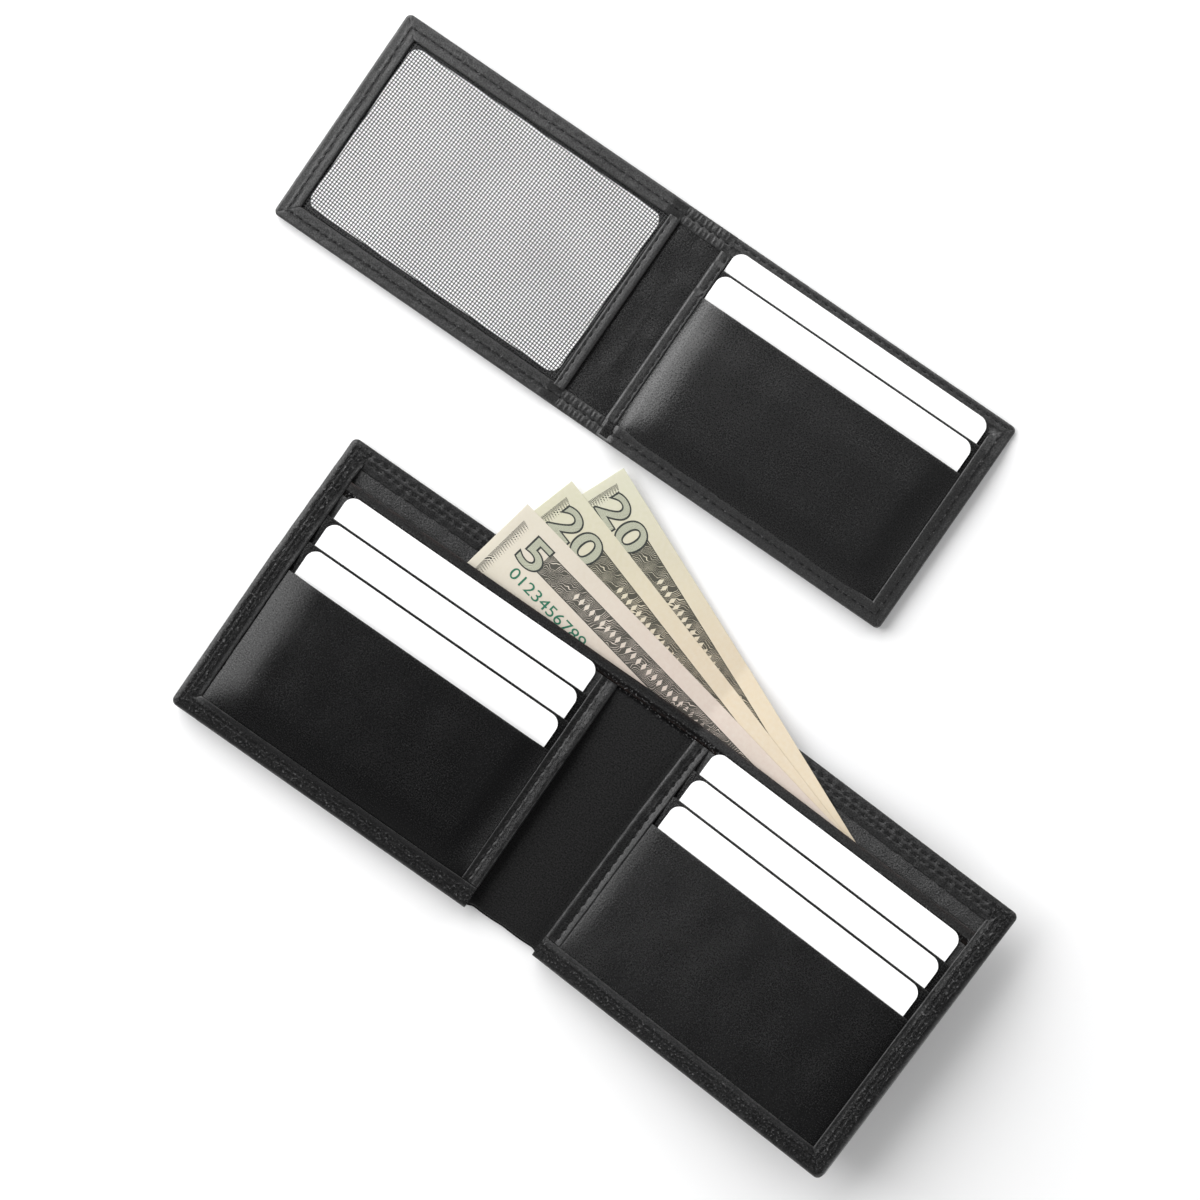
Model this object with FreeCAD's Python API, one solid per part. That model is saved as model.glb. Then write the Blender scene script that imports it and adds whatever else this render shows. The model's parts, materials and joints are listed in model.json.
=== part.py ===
"""Bifold wallet with three card slots in each half, a bill compartment and a removable pass case.

Units are millimetres, +Z up. The wallet lies open with the outside of its cover down.
The origin is the middle of the left half's outer face. +X runs along the open wallet,
+Y towards the open edge of the bill compartment.

Each half is drawn flat in its own coordinates: s is the distance from its crease towards
its outer side, v the distance from its bottom edge, z the height above its outer face.
"""
import math
import os

import FreeCAD
import Part

os.makedirs("parts", exist_ok=True)
Vector = FreeCAD.Vector

# ---------------------------------------------------------------- overall sizes
HEIGHT = 91.0  # bottom edge to the open edge of the bill compartment
SPINE_WIDTH = 22.8  # between the two creases, at the bottom edge
CREASE_SPREAD = 2.0  # degrees between the two creases: the soft spine widens upwards
REST_TILT = 8.5  # degrees by which the right half stands up from the spine
CORNER_RADIUS = 1.8

# ---------------------------------------------------------------- leather and cloth
COVER_THICK = 0.9
LINING_THICK = 0.25
BILL_GAP = 0.8  # depth of the bill compartment
DIVIDER_THICK = 0.6
HEM_THICK = 0.35  # folded top of the divider
SLIP_GAP = 0.2  # slip pocket behind each card panel
BACKING_THICK = 0.3
POCKET_THICK = 0.5
EDGE_THICK = 0.55  # turned-over edge of the cover
EDGE_WALL = 0.8  # the same leather where it stands around the side
SPINE_INSET = 1.0  # the bottom edge at the spine is set back

# ---------------------------------------------------------------- seams
EDGE_BAND = 6.6  # width of the turned-over edge
SIDE_SEAM = 4.6  # width in which the layers are sewn together, outer side and bottom
SPINE_SEAM = 3.9  # the same beside the spine
BINDING_WIDTH = 5.3
LEDGE_WIDTH = 3.0  # sewn bottom of a pocket that ends above the edge seam
BILL_LIP = 11.2  # of the back wall above the divider
HEM_WIDTH = 4.0
WALL_HEM_WIDTH = 6.8  # turned-over top edge of the back wall
CREASE_GAP = 0.15  # each sheet stops this far from a crease
CREASE_CLEAR = 0.4  # the card panels stop this far from it
SHEET_CLEAR = 0.2  # between pieces laid edge to edge
HINGE_CLEAR = 0.05  # the folding axis is this far above what crosses it

# ---------------------------------------------------------------- stitching
THREAD_WIDTH = 0.5
THREAD_HEIGHT = 0.1
OUTER_ROW = 2.1  # distance of the two rows from the edge
INNER_ROW = 4.0
HEM_ROW = 3.5  # below the divider's top
BINDING_ROW = 3.5  # from the binding's rolled lip

# ---------------------------------------------------------------- cards (ISO ID-1) and notes
CARD_LENGTH = 85.6
CARD_HEIGHT = 53.98
CARD_THICK = 0.76
CARD_CORNER = 3.18
CARD_CLEAR = 0.1  # above and below a card in its slot
CARD_SEAT = 0.3  # between a card and the seam under it
CARD_INSET = 7.55  # from the crease to a card
CARD_MARGIN = 8.55  # from a card to the outer side
CARD_DROP = 2.7  # of the rear card below the divider's top
CARD_SHOWN = 8.9  # of the front card above its slot's edge
LIP_SHOWN = 0.7  # of each slot's edge above the card in front of it
NOTE_LENGTH = 156.0
NOTE_HEIGHT = 66.0
NOTE_THICK = 0.12
NOTE_PITCH = 0.2
NOTE_LIFT = 0.17  # of the lowest note above the lining
# x, y of each note's upper left corner from the left half's lower left corner, and its turn
NOTE_CORNERS = ((67.9, 126.9, -23.4), (57.9, 115.6, -17.4), (51.3, 103.2, -11.4))

# ---------------------------------------------------------------- pass case
PASS_SPINE = 13.4
PASS_BAND = 5.8
PASS_LINING = 0.3
PASS_BACKING = 0.55
PASS_MESH = 0.2
PASS_ROW = 3.0  # stitching, from the edge
PASS_SEAM = 3.3
PASS_HEM = 3.4  # folded edge of the mesh beside the spine, and binding of the slots
PASS_HEM_ROW = 2.4
PASS_CARD_DROP = 2.8  # of the rear card below the top edge
PASS_CARD_INSET = 4.3
PASS_CARD_MARGIN = 7.1
ID_CARD_INSET = 5.0
ID_CARD_BOTTOM = 7.4
ID_CARD_DROP = 6.8
PASS_CORNER = (-55.1, 130.0)  # its lower left corner from that of the wallet's left half

# ---------------------------------------------------------------- heights of the layers
SLOT = CARD_THICK + 2 * CARD_CLEAR
Z_LINING = COVER_THICK
Z_BILLS = Z_LINING + LINING_THICK
Z_DIVIDER = Z_BILLS + BILL_GAP
Z_SLIP = Z_DIVIDER + DIVIDER_THICK
Z_BACKING = Z_SLIP + SLIP_GAP
Z_SLOTS = Z_BACKING + BACKING_THICK
Z_HINGE = Z_SLIP + HEM_THICK + THREAD_HEIGHT + HINGE_CLEAR
SLOT_STEP = SLOT + POCKET_THICK
Z_EDGE = Z_SLOTS + 3 * SLOT_STEP
Z_TOP = Z_EDGE + EDGE_THICK

# ---------------------------------------------------------------- sizes that follow from the cards
HALF_WIDTH = CARD_INSET + CARD_LENGTH + CARD_MARGIN
DIVIDER_TOP = HEIGHT - BILL_LIP
FRONT_CARD_TOP = SIDE_SEAM + CARD_SEAT + CARD_HEIGHT
SLOT_PITCH = (DIVIDER_TOP - CARD_DROP - FRONT_CARD_TOP) / 2
LIFT = 10 * HEIGHT  # reach of cutting tools
ZONE_REACH = 1.5  # heights that the spine's cutting block reaches up and down

LEFT_CREASE_X = HALF_WIDTH / 2
BOTTOM_Y = -HEIGHT / 2
RIGHT_CREASE_X = LEFT_CREASE_X + SPINE_WIDTH


def slab(s0, s1, v0, v1, z0, z1):
    return Part.makeBox(s1 - s0, v1 - v0, z1 - z0, Vector(s0, v0, z0))


def rounded(s0, s1, v0, v1, z0, z1, radius, corners):
    """A slab whose upright edges at the named corners, as (s, v), are rounded."""
    body = slab(s0, s1, v0, v1, z0, z1)
    edges = []
    for edge in body.Edges:
        a, b = edge.Vertexes[0].Point, edge.Vertexes[1].Point
        upright = abs(a.z - b.z) > abs(z1 - z0) / 2
        if upright and any(math.hypot(a.x - s, a.y - v) < 0.01 for s, v in corners):
            edges.append(edge)
    return body.makeFillet(radius, edges)


def join(shapes):
    body = shapes[0]
    for other in shapes[1:]:
        body = body.fuse(other)
    return body.removeSplitter()


def card(s0, v0, z0, length=CARD_LENGTH, height=CARD_HEIGHT):
    s1, v1 = s0 + length, v0 + height
    corners = [(s0, v0), (s0, v1), (s1, v0), (s1, v1)]
    return rounded(s0, s1, v0, v1, z0, z0 + CARD_THICK, CARD_CORNER, corners)


def thread(points, z):
    """A sewn row: one low bar for each straight run between the points."""
    bars = []
    half = THREAD_WIDTH / 2
    for (s0, v0), (s1, v1) in zip(points, points[1:]):
        run = math.hypot(s1 - s0, v1 - v0)
        bar = Part.makeBox(run - THREAD_WIDTH, THREAD_WIDTH, THREAD_HEIGHT, Vector(half, -half, 0))
        bar.rotate(Vector(0, 0, 0), Vector(0, 0, 1), math.degrees(math.atan2(v1 - v0, s1 - s0)))
        bar.translate(Vector(s0, v0, z))
        bars.append(bar)
    return bars


def outline(s1, v1, z0, z1):
    """The block that a half's outer side and its two outer corners fit in."""
    return rounded(-LIFT, s1, 0, v1, z0, z1, CORNER_RADIUS, [(s1, 0), (s1, v1)])


# ---------------------------------------------------------------- one half, drawn flat
def divider():
    """Front wall of the bill compartment, sewn down along the outer side and the bottom."""
    side = HALF_WIDTH - EDGE_WALL
    sheet = slab(CREASE_GAP, side, EDGE_WALL, DIVIDER_TOP, Z_DIVIDER, Z_SLIP)
    side_seam = slab(HALF_WIDTH - SIDE_SEAM, side, EDGE_WALL, DIVIDER_TOP, Z_BILLS, Z_SLIP)
    bottom_seam = slab(CREASE_GAP, side, EDGE_WALL, SIDE_SEAM, Z_BILLS, Z_SLIP)
    return join([sheet, side_seam, bottom_seam])


def panel_backing():
    """Back of the card slots; behind it a slip pocket opens towards the spine."""
    side, top = HALF_WIDTH - EDGE_WALL, DIVIDER_TOP - HEM_WIDTH - SHEET_CLEAR
    start = CREASE_CLEAR + EDGE_WALL
    sheet = slab(start, side, EDGE_WALL, top, Z_BACKING, Z_SLOTS)
    side_seam = slab(HALF_WIDTH - SIDE_SEAM, side, EDGE_WALL, top, Z_SLIP, Z_SLOTS)
    bottom_seam = slab(start, side, EDGE_WALL, SIDE_SEAM, Z_SLIP, Z_SLOTS)
    return join([sheet, side_seam, bottom_seam])


def pocket(level, top, card_bottom):
    """One card slot: its front sheet and the seams that hold it down on the layer behind."""
    z0 = Z_SLOTS + level * SLOT_STEP
    z1 = z0 + SLOT_STEP
    start, side = CREASE_CLEAR + EDGE_WALL, HALF_WIDTH - EDGE_WALL
    sheet = slab(start, side, EDGE_WALL, top, z0 + SLOT, z1)
    spine_seam = slab(start, CREASE_CLEAR + SPINE_SEAM, EDGE_WALL, top, z0, z1)
    side_seam = slab(HALF_WIDTH - SIDE_SEAM, side, EDGE_WALL, top, z0, z1)
    bottom_seam = slab(start, side, EDGE_WALL, SIDE_SEAM, z0, z1)
    pieces = [sheet, spine_seam, side_seam, bottom_seam]
    ledge_top = card_bottom - CARD_SEAT
    if ledge_top > SIDE_SEAM + LEDGE_WIDTH:
        pieces.append(slab(start, side, ledge_top - LEDGE_WIDTH, ledge_top, z0, z1))
    return join(pieces)


def turned_edge():
    """Edge of the cover, turned up and over the card panel on the outer side and the bottom."""
    flap = slab(CREASE_CLEAR, HALF_WIDTH, 0, DIVIDER_TOP, Z_EDGE, Z_TOP)
    middle = slab(-1, HALF_WIDTH - EDGE_BAND, EDGE_BAND, HEIGHT, Z_EDGE - 1, Z_TOP + 1)
    wall = slab(CREASE_CLEAR, HALF_WIDTH, 0, DIVIDER_TOP, Z_LINING, Z_EDGE)
    inside = slab(-1, HALF_WIDTH - EDGE_WALL, EDGE_WALL, HEIGHT, 0, Z_EDGE)
    edge = join([flap.cut(middle), wall.cut(inside)])
    return edge.common(outline(HALF_WIDTH, HEIGHT, 0, Z_TOP))


def binding():
    """Strip that wraps the card panel's edge beside the spine."""
    lip, top = CREASE_CLEAR, DIVIDER_TOP - HEM_WIDTH - SHEET_CLEAR
    flap = slab(lip, lip + BINDING_WIDTH, EDGE_BAND + SHEET_CLEAR, top, Z_EDGE, Z_TOP)
    wall = slab(lip, lip + EDGE_WALL, EDGE_BAND + SHEET_CLEAR, top, Z_BACKING, Z_EDGE)
    return join([flap, wall])


def half_stitching():
    near, side = CREASE_CLEAR + 1, HALF_WIDTH
    top, wall_top = DIVIDER_TOP - 1, HEIGHT
    rows = []
    for row in (OUTER_ROW, INNER_ROW):
        rows += thread([(near, row), (side - row, row), (side - row, top)], Z_TOP)
        rows += thread([(near, wall_top - row), (side - row, wall_top - row)], Z_BILLS)
    hem = DIVIDER_TOP - HEM_ROW
    rows += thread([(CREASE_GAP, hem), (side - SIDE_SEAM, hem)], Z_SLIP + HEM_THICK)
    row = CREASE_CLEAR + BINDING_ROW
    rows += thread([(row, EDGE_BAND + 1), (row, DIVIDER_TOP - HEM_WIDTH - 1)], Z_TOP)
    return Part.makeCompound(rows)


def half_sheets():
    """Every piece of one half that is the same in both, by name."""
    side = HALF_WIDTH - EDGE_WALL
    wall_hem = HEIGHT - WALL_HEM_WIDTH
    side_start, side_low = HALF_WIDTH - EDGE_BAND, DIVIDER_TOP + SHEET_CLEAR
    side_hem = slab(side_start, HALF_WIDTH, side_low, HEIGHT, Z_LINING, Z_BILLS)
    lining = slab(CREASE_GAP, side, EDGE_WALL, wall_hem, Z_LINING, Z_BILLS)
    back_hem = join([slab(CREASE_GAP, HALF_WIDTH, wall_hem, HEIGHT, Z_LINING, Z_BILLS), side_hem])
    cover = slab(CREASE_GAP, HALF_WIDTH, 0, HEIGHT, 0, COVER_THICK)
    limits = outline(HALF_WIDTH, HEIGHT, 0, Z_TOP)
    hem = slab(CREASE_GAP, side, DIVIDER_TOP - HEM_WIDTH, DIVIDER_TOP, Z_SLIP, Z_SLIP + HEM_THICK)
    pieces = {
        "cover": cover.common(limits),
        "back_wall_hem": back_hem.common(limits),
        "bill_lining": lining.cut(back_hem),
        "divider": divider(),
        "divider_hem": hem,
        "panel_backing": panel_backing(),
        "turned_edge": turned_edge(),
        "binding": binding(),
        "stitching": half_stitching(),
    }
    for level, name in enumerate(("rear", "middle", "front")):
        card_top = FRONT_CARD_TOP + (2 - level) * SLOT_PITCH
        top = card_top - CARD_SHOWN if name == "front" else card_top - SLOT_PITCH + LIP_SHOWN
        card_bottom = card_top - CARD_HEIGHT
        pieces["pocket_" + name] = pocket(level, top, card_bottom)
        pieces["card_" + name] = card(
            CARD_INSET, card_bottom, Z_SLOTS + level * SLOT_STEP + CARD_CLEAR
        )
    return pieces


# ---------------------------------------------------------------- placing the halves
def place_left(shape):
    shape = shape.mirror(Vector(0, 0, 0), Vector(1, 0, 0))
    shape.translate(Vector(LEFT_CREASE_X, BOTTOM_Y, 0))
    return shape


def right_placement():
    down = FreeCAD.Placement(Vector(0, 0, -Z_HINGE), FreeCAD.Rotation())
    spread = FreeCAD.Rotation(Vector(0, 0, 1), -CREASE_SPREAD)
    tilt = FreeCAD.Rotation(Vector(0, 1, 0), -REST_TILT)
    hinge = Vector(RIGHT_CREASE_X, BOTTOM_Y, Z_HINGE)
    return FreeCAD.Placement(hinge, spread.multiply(tilt)).multiply(down)


def place_right(shape):
    shape = shape.copy()
    shape.transformShape(right_placement().toMatrix(), True)
    return shape


def flat_in_right(shape):
    """A sheet drawn across the open wallet, moved into the right half's own coordinates."""
    shape = shape.copy()
    shape.translate(Vector(-RIGHT_CREASE_X, -BOTTOM_Y, 0))
    shape.rotate(Vector(0, 0, 0), Vector(0, 0, 1), CREASE_SPREAD)
    return shape


def spine_zone():
    """The block between the creases, less the crease gaps."""
    spread = math.radians(CREASE_SPREAD)
    x0 = LEFT_CREASE_X + CREASE_GAP
    x1 = RIGHT_CREASE_X - CREASE_GAP / math.cos(spread)
    reach = ZONE_REACH * HEIGHT
    shift = reach * math.tan(spread)
    low, high = BOTTOM_Y - reach, BOTTOM_Y + reach
    corners = [(x0, low), (x1 - shift, low), (x1 + shift, high), (x0, high)]
    points = [Vector(x, y, -1) for x, y in corners]
    face = Part.Face(Part.makePolygon(points + points[:1]))
    return face.extrude(Vector(0, 0, Z_TOP + 2))


def spine_sheet(v0, v1, z0, z1):
    wide = slab(0, RIGHT_CREASE_X + HALF_WIDTH, BOTTOM_Y + v0, BOTTOM_Y + v1, z0, z1)
    return wide.common(spine_zone())


def spine_sheets():
    wall_hem = HEIGHT - WALL_HEM_WIDTH
    sheet = spine_sheet(SPINE_INSET, DIVIDER_TOP, Z_DIVIDER, Z_SLIP)
    seam = spine_sheet(SPINE_INSET, SIDE_SEAM, Z_BILLS, Z_SLIP)
    rows = []
    half = THREAD_WIDTH / 2
    for row in (OUTER_ROW, INNER_ROW):
        v = HEIGHT - row
        rows.append(spine_sheet(v - half, v + half, Z_BILLS, Z_BILLS + THREAD_HEIGHT))
    v, z = DIVIDER_TOP - HEM_ROW, Z_SLIP + HEM_THICK
    rows.append(spine_sheet(v - half, v + half, z, z + THREAD_HEIGHT))
    return {
        "cover_spine": spine_sheet(SPINE_INSET, HEIGHT, 0, COVER_THICK),
        "back_wall_hem_spine": spine_sheet(wall_hem, HEIGHT, Z_LINING, Z_BILLS),
        "bill_lining_spine": spine_sheet(SPINE_INSET, wall_hem, Z_LINING, Z_BILLS),
        "divider_spine": join([sheet, seam]),
        "divider_hem_spine": spine_sheet(DIVIDER_TOP - HEM_WIDTH, DIVIDER_TOP, Z_SLIP, z),
        "stitching_spine": Part.makeCompound(rows),
    }


def notes():
    """Three bank notes fanned in the bill compartment, divided at the creases."""
    parts = {"notes_left": [], "notes_spine": [], "notes_right": []}
    for level, (x, y, turn) in enumerate(NOTE_CORNERS):
        z = Z_BILLS + NOTE_LIFT + level * NOTE_PITCH
        note = Part.makeBox(NOTE_LENGTH, NOTE_HEIGHT, NOTE_THICK, Vector(0, -NOTE_HEIGHT, z))
        note.rotate(Vector(0, 0, 0), Vector(0, 0, 1), turn)
        note.translate(Vector(x - LEFT_CREASE_X, y + BOTTOM_Y, 0))
        left = slab(-LIFT, LEFT_CREASE_X - CREASE_GAP, -LIFT, LIFT, -1, Z_TOP)
        parts["notes_left"].append(note.common(left))
        parts["notes_spine"].append(note.common(spine_zone()))
        in_right = flat_in_right(note).common(slab(CREASE_GAP, LIFT, -LIFT, LIFT, -1, Z_TOP))
        parts["notes_right"].append(place_right(in_right))
    return {name: Part.makeCompound(solids) for name, solids in parts.items()}


# ---------------------------------------------------------------- pass case
PASS_HALF = PASS_CARD_INSET + CARD_LENGTH + PASS_CARD_MARGIN
PASS_HEIGHT = ID_CARD_BOTTOM + CARD_HEIGHT + ID_CARD_DROP
PASS_CARD_TOP = PASS_HEIGHT - PASS_CARD_DROP
PASS_FRONT_CARD_TOP = PASS_SEAM + CARD_SEAT + CARD_HEIGHT
PASS_REAR_LIP = PASS_FRONT_CARD_TOP + LIP_SHOWN
PASS_Z_LINING = COVER_THICK
PASS_Z_SLOT = PASS_Z_LINING + PASS_BACKING
PASS_Z_HINGE = PASS_Z_LINING + PASS_LINING + EDGE_THICK + HINGE_CLEAR
PASS_Z_MESH = PASS_Z_SLOT + SLOT
PASS_Z_WINDOW_EDGE = PASS_Z_MESH + PASS_MESH
PASS_Z_EDGE = PASS_Z_SLOT + 2 * SLOT_STEP
PASS_X = -LEFT_CREASE_X + PASS_CORNER[0]
PASS_Y = BOTTOM_Y + PASS_CORNER[1]


def pass_left(shape):
    shape = shape.mirror(Vector(0, 0, 0), Vector(1, 0, 0))
    shape.translate(Vector(PASS_X + PASS_HALF, PASS_Y, 0))
    return shape


def pass_right(shape):
    shape = shape.copy()
    shape.translate(Vector(PASS_X + PASS_HALF + PASS_SPINE, PASS_Y, 0))
    return shape


def pass_edge(z_flap, top, flap_end, wall_end):
    """Turned-over edge up to top: a wall around the side and a flap over the panel.

    flap_end and wall_end are where the flap and the wall of its upper run start.
    """
    z_top = z_flap + EDGE_THICK
    flap = slab(CREASE_CLEAR, PASS_HALF, 0, top, z_flap, z_top)
    opening = slab(-1, PASS_HALF - PASS_BAND, PASS_BAND, flap_end, z_flap - 1, z_top + 1)
    wall = slab(CREASE_CLEAR, PASS_HALF, 0, top, PASS_Z_LINING, z_flap)
    inside = slab(-1, PASS_HALF - EDGE_WALL, EDGE_WALL, wall_end, 0, z_flap)
    return join([flap.cut(opening), wall.cut(inside)])


def pass_window_half():
    side = PASS_HALF - EDGE_WALL
    low, high = EDGE_WALL, PASS_HEIGHT - EDGE_WALL
    top = PASS_HEIGHT - PASS_BAND
    limits = outline(PASS_HALF, PASS_HEIGHT, 0, Z_TOP)
    edge = pass_edge(PASS_Z_WINDOW_EDGE, PASS_HEIGHT, top, high)
    z_thread = PASS_Z_WINDOW_EDGE + EDGE_THICK
    near, far = CREASE_CLEAR + 1, PASS_HALF - PASS_ROW
    rows = thread([(near, PASS_ROW), (far, PASS_ROW), (far, PASS_HEIGHT - PASS_ROW)], z_thread)
    rows += thread([(near, PASS_HEIGHT - PASS_ROW), (far, PASS_HEIGHT - PASS_ROW)], z_thread)
    row = CREASE_CLEAR + PASS_HEM_ROW
    z_hem = PASS_Z_WINDOW_EDGE + PASS_LINING
    rows += thread([(row, PASS_BAND + 1), (row, top - 1)], z_hem)
    id_card = card(ID_CARD_INSET, ID_CARD_BOTTOM, PASS_Z_SLOT + CARD_CLEAR)
    hem = slab(
        CREASE_CLEAR, PASS_HEM, PASS_BAND + SHEET_CLEAR, top - SHEET_CLEAR, PASS_Z_WINDOW_EDGE, z_hem
    )
    return {
        "pass_cover_left": slab(CREASE_GAP, PASS_HALF, 0, PASS_HEIGHT, 0, COVER_THICK).common(limits),
        "pass_backing_left": slab(CREASE_GAP, side, low, high, PASS_Z_LINING, PASS_Z_SLOT),
        "pass_edge_left": edge.common(limits),
        "pass_window_mesh": slab(CREASE_CLEAR, side, low, high, PASS_Z_MESH, PASS_Z_WINDOW_EDGE),
        "pass_mesh_hem": hem,
        "pass_stitching_left": Part.makeCompound(rows),
        "pass_card_id": id_card,
    }


def pass_pocket(level, top, card_bottom):
    z0 = PASS_Z_SLOT + level * SLOT_STEP
    z1 = z0 + SLOT_STEP
    start, side = CREASE_CLEAR + EDGE_WALL, PASS_HALF - EDGE_WALL
    sheet = slab(start, side, EDGE_WALL, top, z0 + SLOT, z1)
    spine_seam = slab(start, CREASE_CLEAR + PASS_HEM, EDGE_WALL, top, z0, z1)
    side_seam = slab(PASS_HALF - PASS_SEAM, side, EDGE_WALL, top, z0, z1)
    bottom_seam = slab(start, side, EDGE_WALL, card_bottom - CARD_SEAT, z0, z1)
    return join([sheet, spine_seam, side_seam, bottom_seam])


def pass_slot_half():
    side, top_band = PASS_HALF - EDGE_WALL, PASS_HEIGHT - PASS_BAND
    limits = outline(PASS_HALF, PASS_HEIGHT, 0, Z_TOP)
    edge = pass_edge(PASS_Z_EDGE, PASS_REAR_LIP, PASS_HEIGHT, PASS_HEIGHT)
    top_hem = slab(CREASE_CLEAR, PASS_HALF, top_band, PASS_HEIGHT, PASS_Z_LINING, PASS_Z_SLOT)
    side_hem = slab(side, PASS_HALF, PASS_REAR_LIP - 1, PASS_HEIGHT, PASS_Z_LINING, PASS_Z_SLOT)
    binding_flap = slab(
        CREASE_CLEAR, CREASE_CLEAR + PASS_HEM, PASS_BAND + SHEET_CLEAR, PASS_REAR_LIP, PASS_Z_EDGE,
        PASS_Z_EDGE + PASS_LINING,
    )
    binding_wall = slab(
        CREASE_CLEAR, CREASE_CLEAR + EDGE_WALL, PASS_BAND + SHEET_CLEAR, PASS_REAR_LIP, PASS_Z_SLOT,
        PASS_Z_EDGE,
    )
    z_thread = PASS_Z_EDGE + EDGE_THICK
    near, far = CREASE_CLEAR + 1, PASS_HALF - PASS_ROW
    rows = thread([(near, PASS_ROW), (far, PASS_ROW), (far, PASS_REAR_LIP - 1)], z_thread)
    rows += thread(
        [(near, PASS_HEIGHT - PASS_ROW / 2), (far, PASS_HEIGHT - PASS_ROW / 2)],
        PASS_Z_SLOT,
    )
    row = CREASE_CLEAR + PASS_HEM_ROW
    rows += thread([(row, PASS_BAND + 1), (row, PASS_REAR_LIP - 1)], PASS_Z_EDGE + PASS_LINING)
    pieces = {
        "pass_cover_right": slab(CREASE_GAP, PASS_HALF, 0, PASS_HEIGHT, 0, COVER_THICK).common(limits),
        "pass_backing_right": slab(
            CREASE_GAP, side, EDGE_WALL, top_band, PASS_Z_LINING, PASS_Z_SLOT
        ),
        "pass_edge_right": join([edge, top_hem, side_hem]).common(limits),
        "pass_binding_right": join([binding_flap, binding_wall]),
        "pass_stitching_right": Part.makeCompound(rows),
    }
    slots = (
        ("rear", PASS_CARD_TOP, PASS_REAR_LIP),
        ("front", PASS_FRONT_CARD_TOP, PASS_FRONT_CARD_TOP - CARD_SHOWN),
    )
    for level, (name, card_top, lip) in enumerate(slots):
        bottom = card_top - CARD_HEIGHT
        pieces["pass_pocket_" + name] = pass_pocket(level, lip, bottom)
        pieces["pass_card_" + name] = card(
            PASS_CARD_INSET, bottom, PASS_Z_SLOT + level * SLOT_STEP + CARD_CLEAR
        )
    return pieces


def pass_spine():
    x0 = PASS_X + PASS_HALF + CREASE_GAP
    x1 = PASS_X + PASS_HALF + PASS_SPINE - CREASE_GAP
    z0, z1 = PASS_Z_LINING + PASS_LINING, PASS_Z_LINING + PASS_LINING + EDGE_THICK
    y0, y1 = PASS_Y, PASS_Y + PASS_HEIGHT
    bands = [slab(x0, x1, y0, y0 + PASS_BAND, z0, z1), slab(x0, x1, y1 - PASS_BAND, y1, z0, z1)]
    return {
        "pass_cover_spine": slab(x0, x1, y0, y1, 0, COVER_THICK),
        "pass_lining_spine": slab(x0, x1, y0, y1, PASS_Z_LINING, z0),
        "pass_edge_spine": Part.makeCompound(bands),
    }


# ---------------------------------------------------------------- all nodes
def build():
    nodes = {}
    for name, shape in half_sheets().items():
        nodes[name + "_left"] = place_left(shape)
        nodes[name + "_right"] = place_right(shape)
    nodes.update(spine_sheets())
    nodes.update(notes())
    nodes.update({name: pass_left(shape) for name, shape in pass_window_half().items()})
    nodes.update({name: pass_right(shape) for name, shape in pass_slot_half().items()})
    nodes.update(pass_spine())
    return nodes


for node, shape in build().items():
    if not shape.isValid() or not shape.Solids:
        raise ValueError("bad solid in " + node)
    shape.exportStep("parts/" + node + ".step")
    print(node, len(shape.Solids), round(shape.Volume, 1))
print("right crease", RIGHT_CREASE_X, BOTTOM_Y, Z_HINGE, "tilt", REST_TILT, "spread", CREASE_SPREAD)
print("pass crease", PASS_X + PASS_HALF, PASS_Z_HINGE)
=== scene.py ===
import json
import math
from functools import partialmethod

import bmesh
import bpy
import numpy as np
from mathutils import Matrix, Vector


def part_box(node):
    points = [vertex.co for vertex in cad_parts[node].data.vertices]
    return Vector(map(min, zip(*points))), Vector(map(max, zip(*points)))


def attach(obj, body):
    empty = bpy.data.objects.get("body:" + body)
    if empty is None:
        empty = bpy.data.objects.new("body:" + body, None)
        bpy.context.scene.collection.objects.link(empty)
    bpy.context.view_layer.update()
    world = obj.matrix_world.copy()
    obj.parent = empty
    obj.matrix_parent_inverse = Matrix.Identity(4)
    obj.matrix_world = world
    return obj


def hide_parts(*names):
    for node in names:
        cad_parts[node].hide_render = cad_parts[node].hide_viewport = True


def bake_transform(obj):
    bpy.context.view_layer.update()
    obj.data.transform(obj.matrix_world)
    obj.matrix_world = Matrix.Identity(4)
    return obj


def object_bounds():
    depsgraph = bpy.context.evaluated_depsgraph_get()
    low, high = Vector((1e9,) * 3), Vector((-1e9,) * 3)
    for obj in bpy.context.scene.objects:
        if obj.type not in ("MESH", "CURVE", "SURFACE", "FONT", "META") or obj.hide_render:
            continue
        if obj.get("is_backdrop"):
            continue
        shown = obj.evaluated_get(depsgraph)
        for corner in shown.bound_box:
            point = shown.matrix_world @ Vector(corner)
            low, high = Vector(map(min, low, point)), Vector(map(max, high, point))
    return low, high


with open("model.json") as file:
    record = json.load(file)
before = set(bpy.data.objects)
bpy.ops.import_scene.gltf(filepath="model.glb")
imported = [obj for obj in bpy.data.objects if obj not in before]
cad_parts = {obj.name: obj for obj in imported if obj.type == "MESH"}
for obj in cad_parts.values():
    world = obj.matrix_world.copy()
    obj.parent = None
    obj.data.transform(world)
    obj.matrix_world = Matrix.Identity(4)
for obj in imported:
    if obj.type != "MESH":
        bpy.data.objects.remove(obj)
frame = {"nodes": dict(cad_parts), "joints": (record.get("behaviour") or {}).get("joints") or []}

cad_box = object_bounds()

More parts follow.
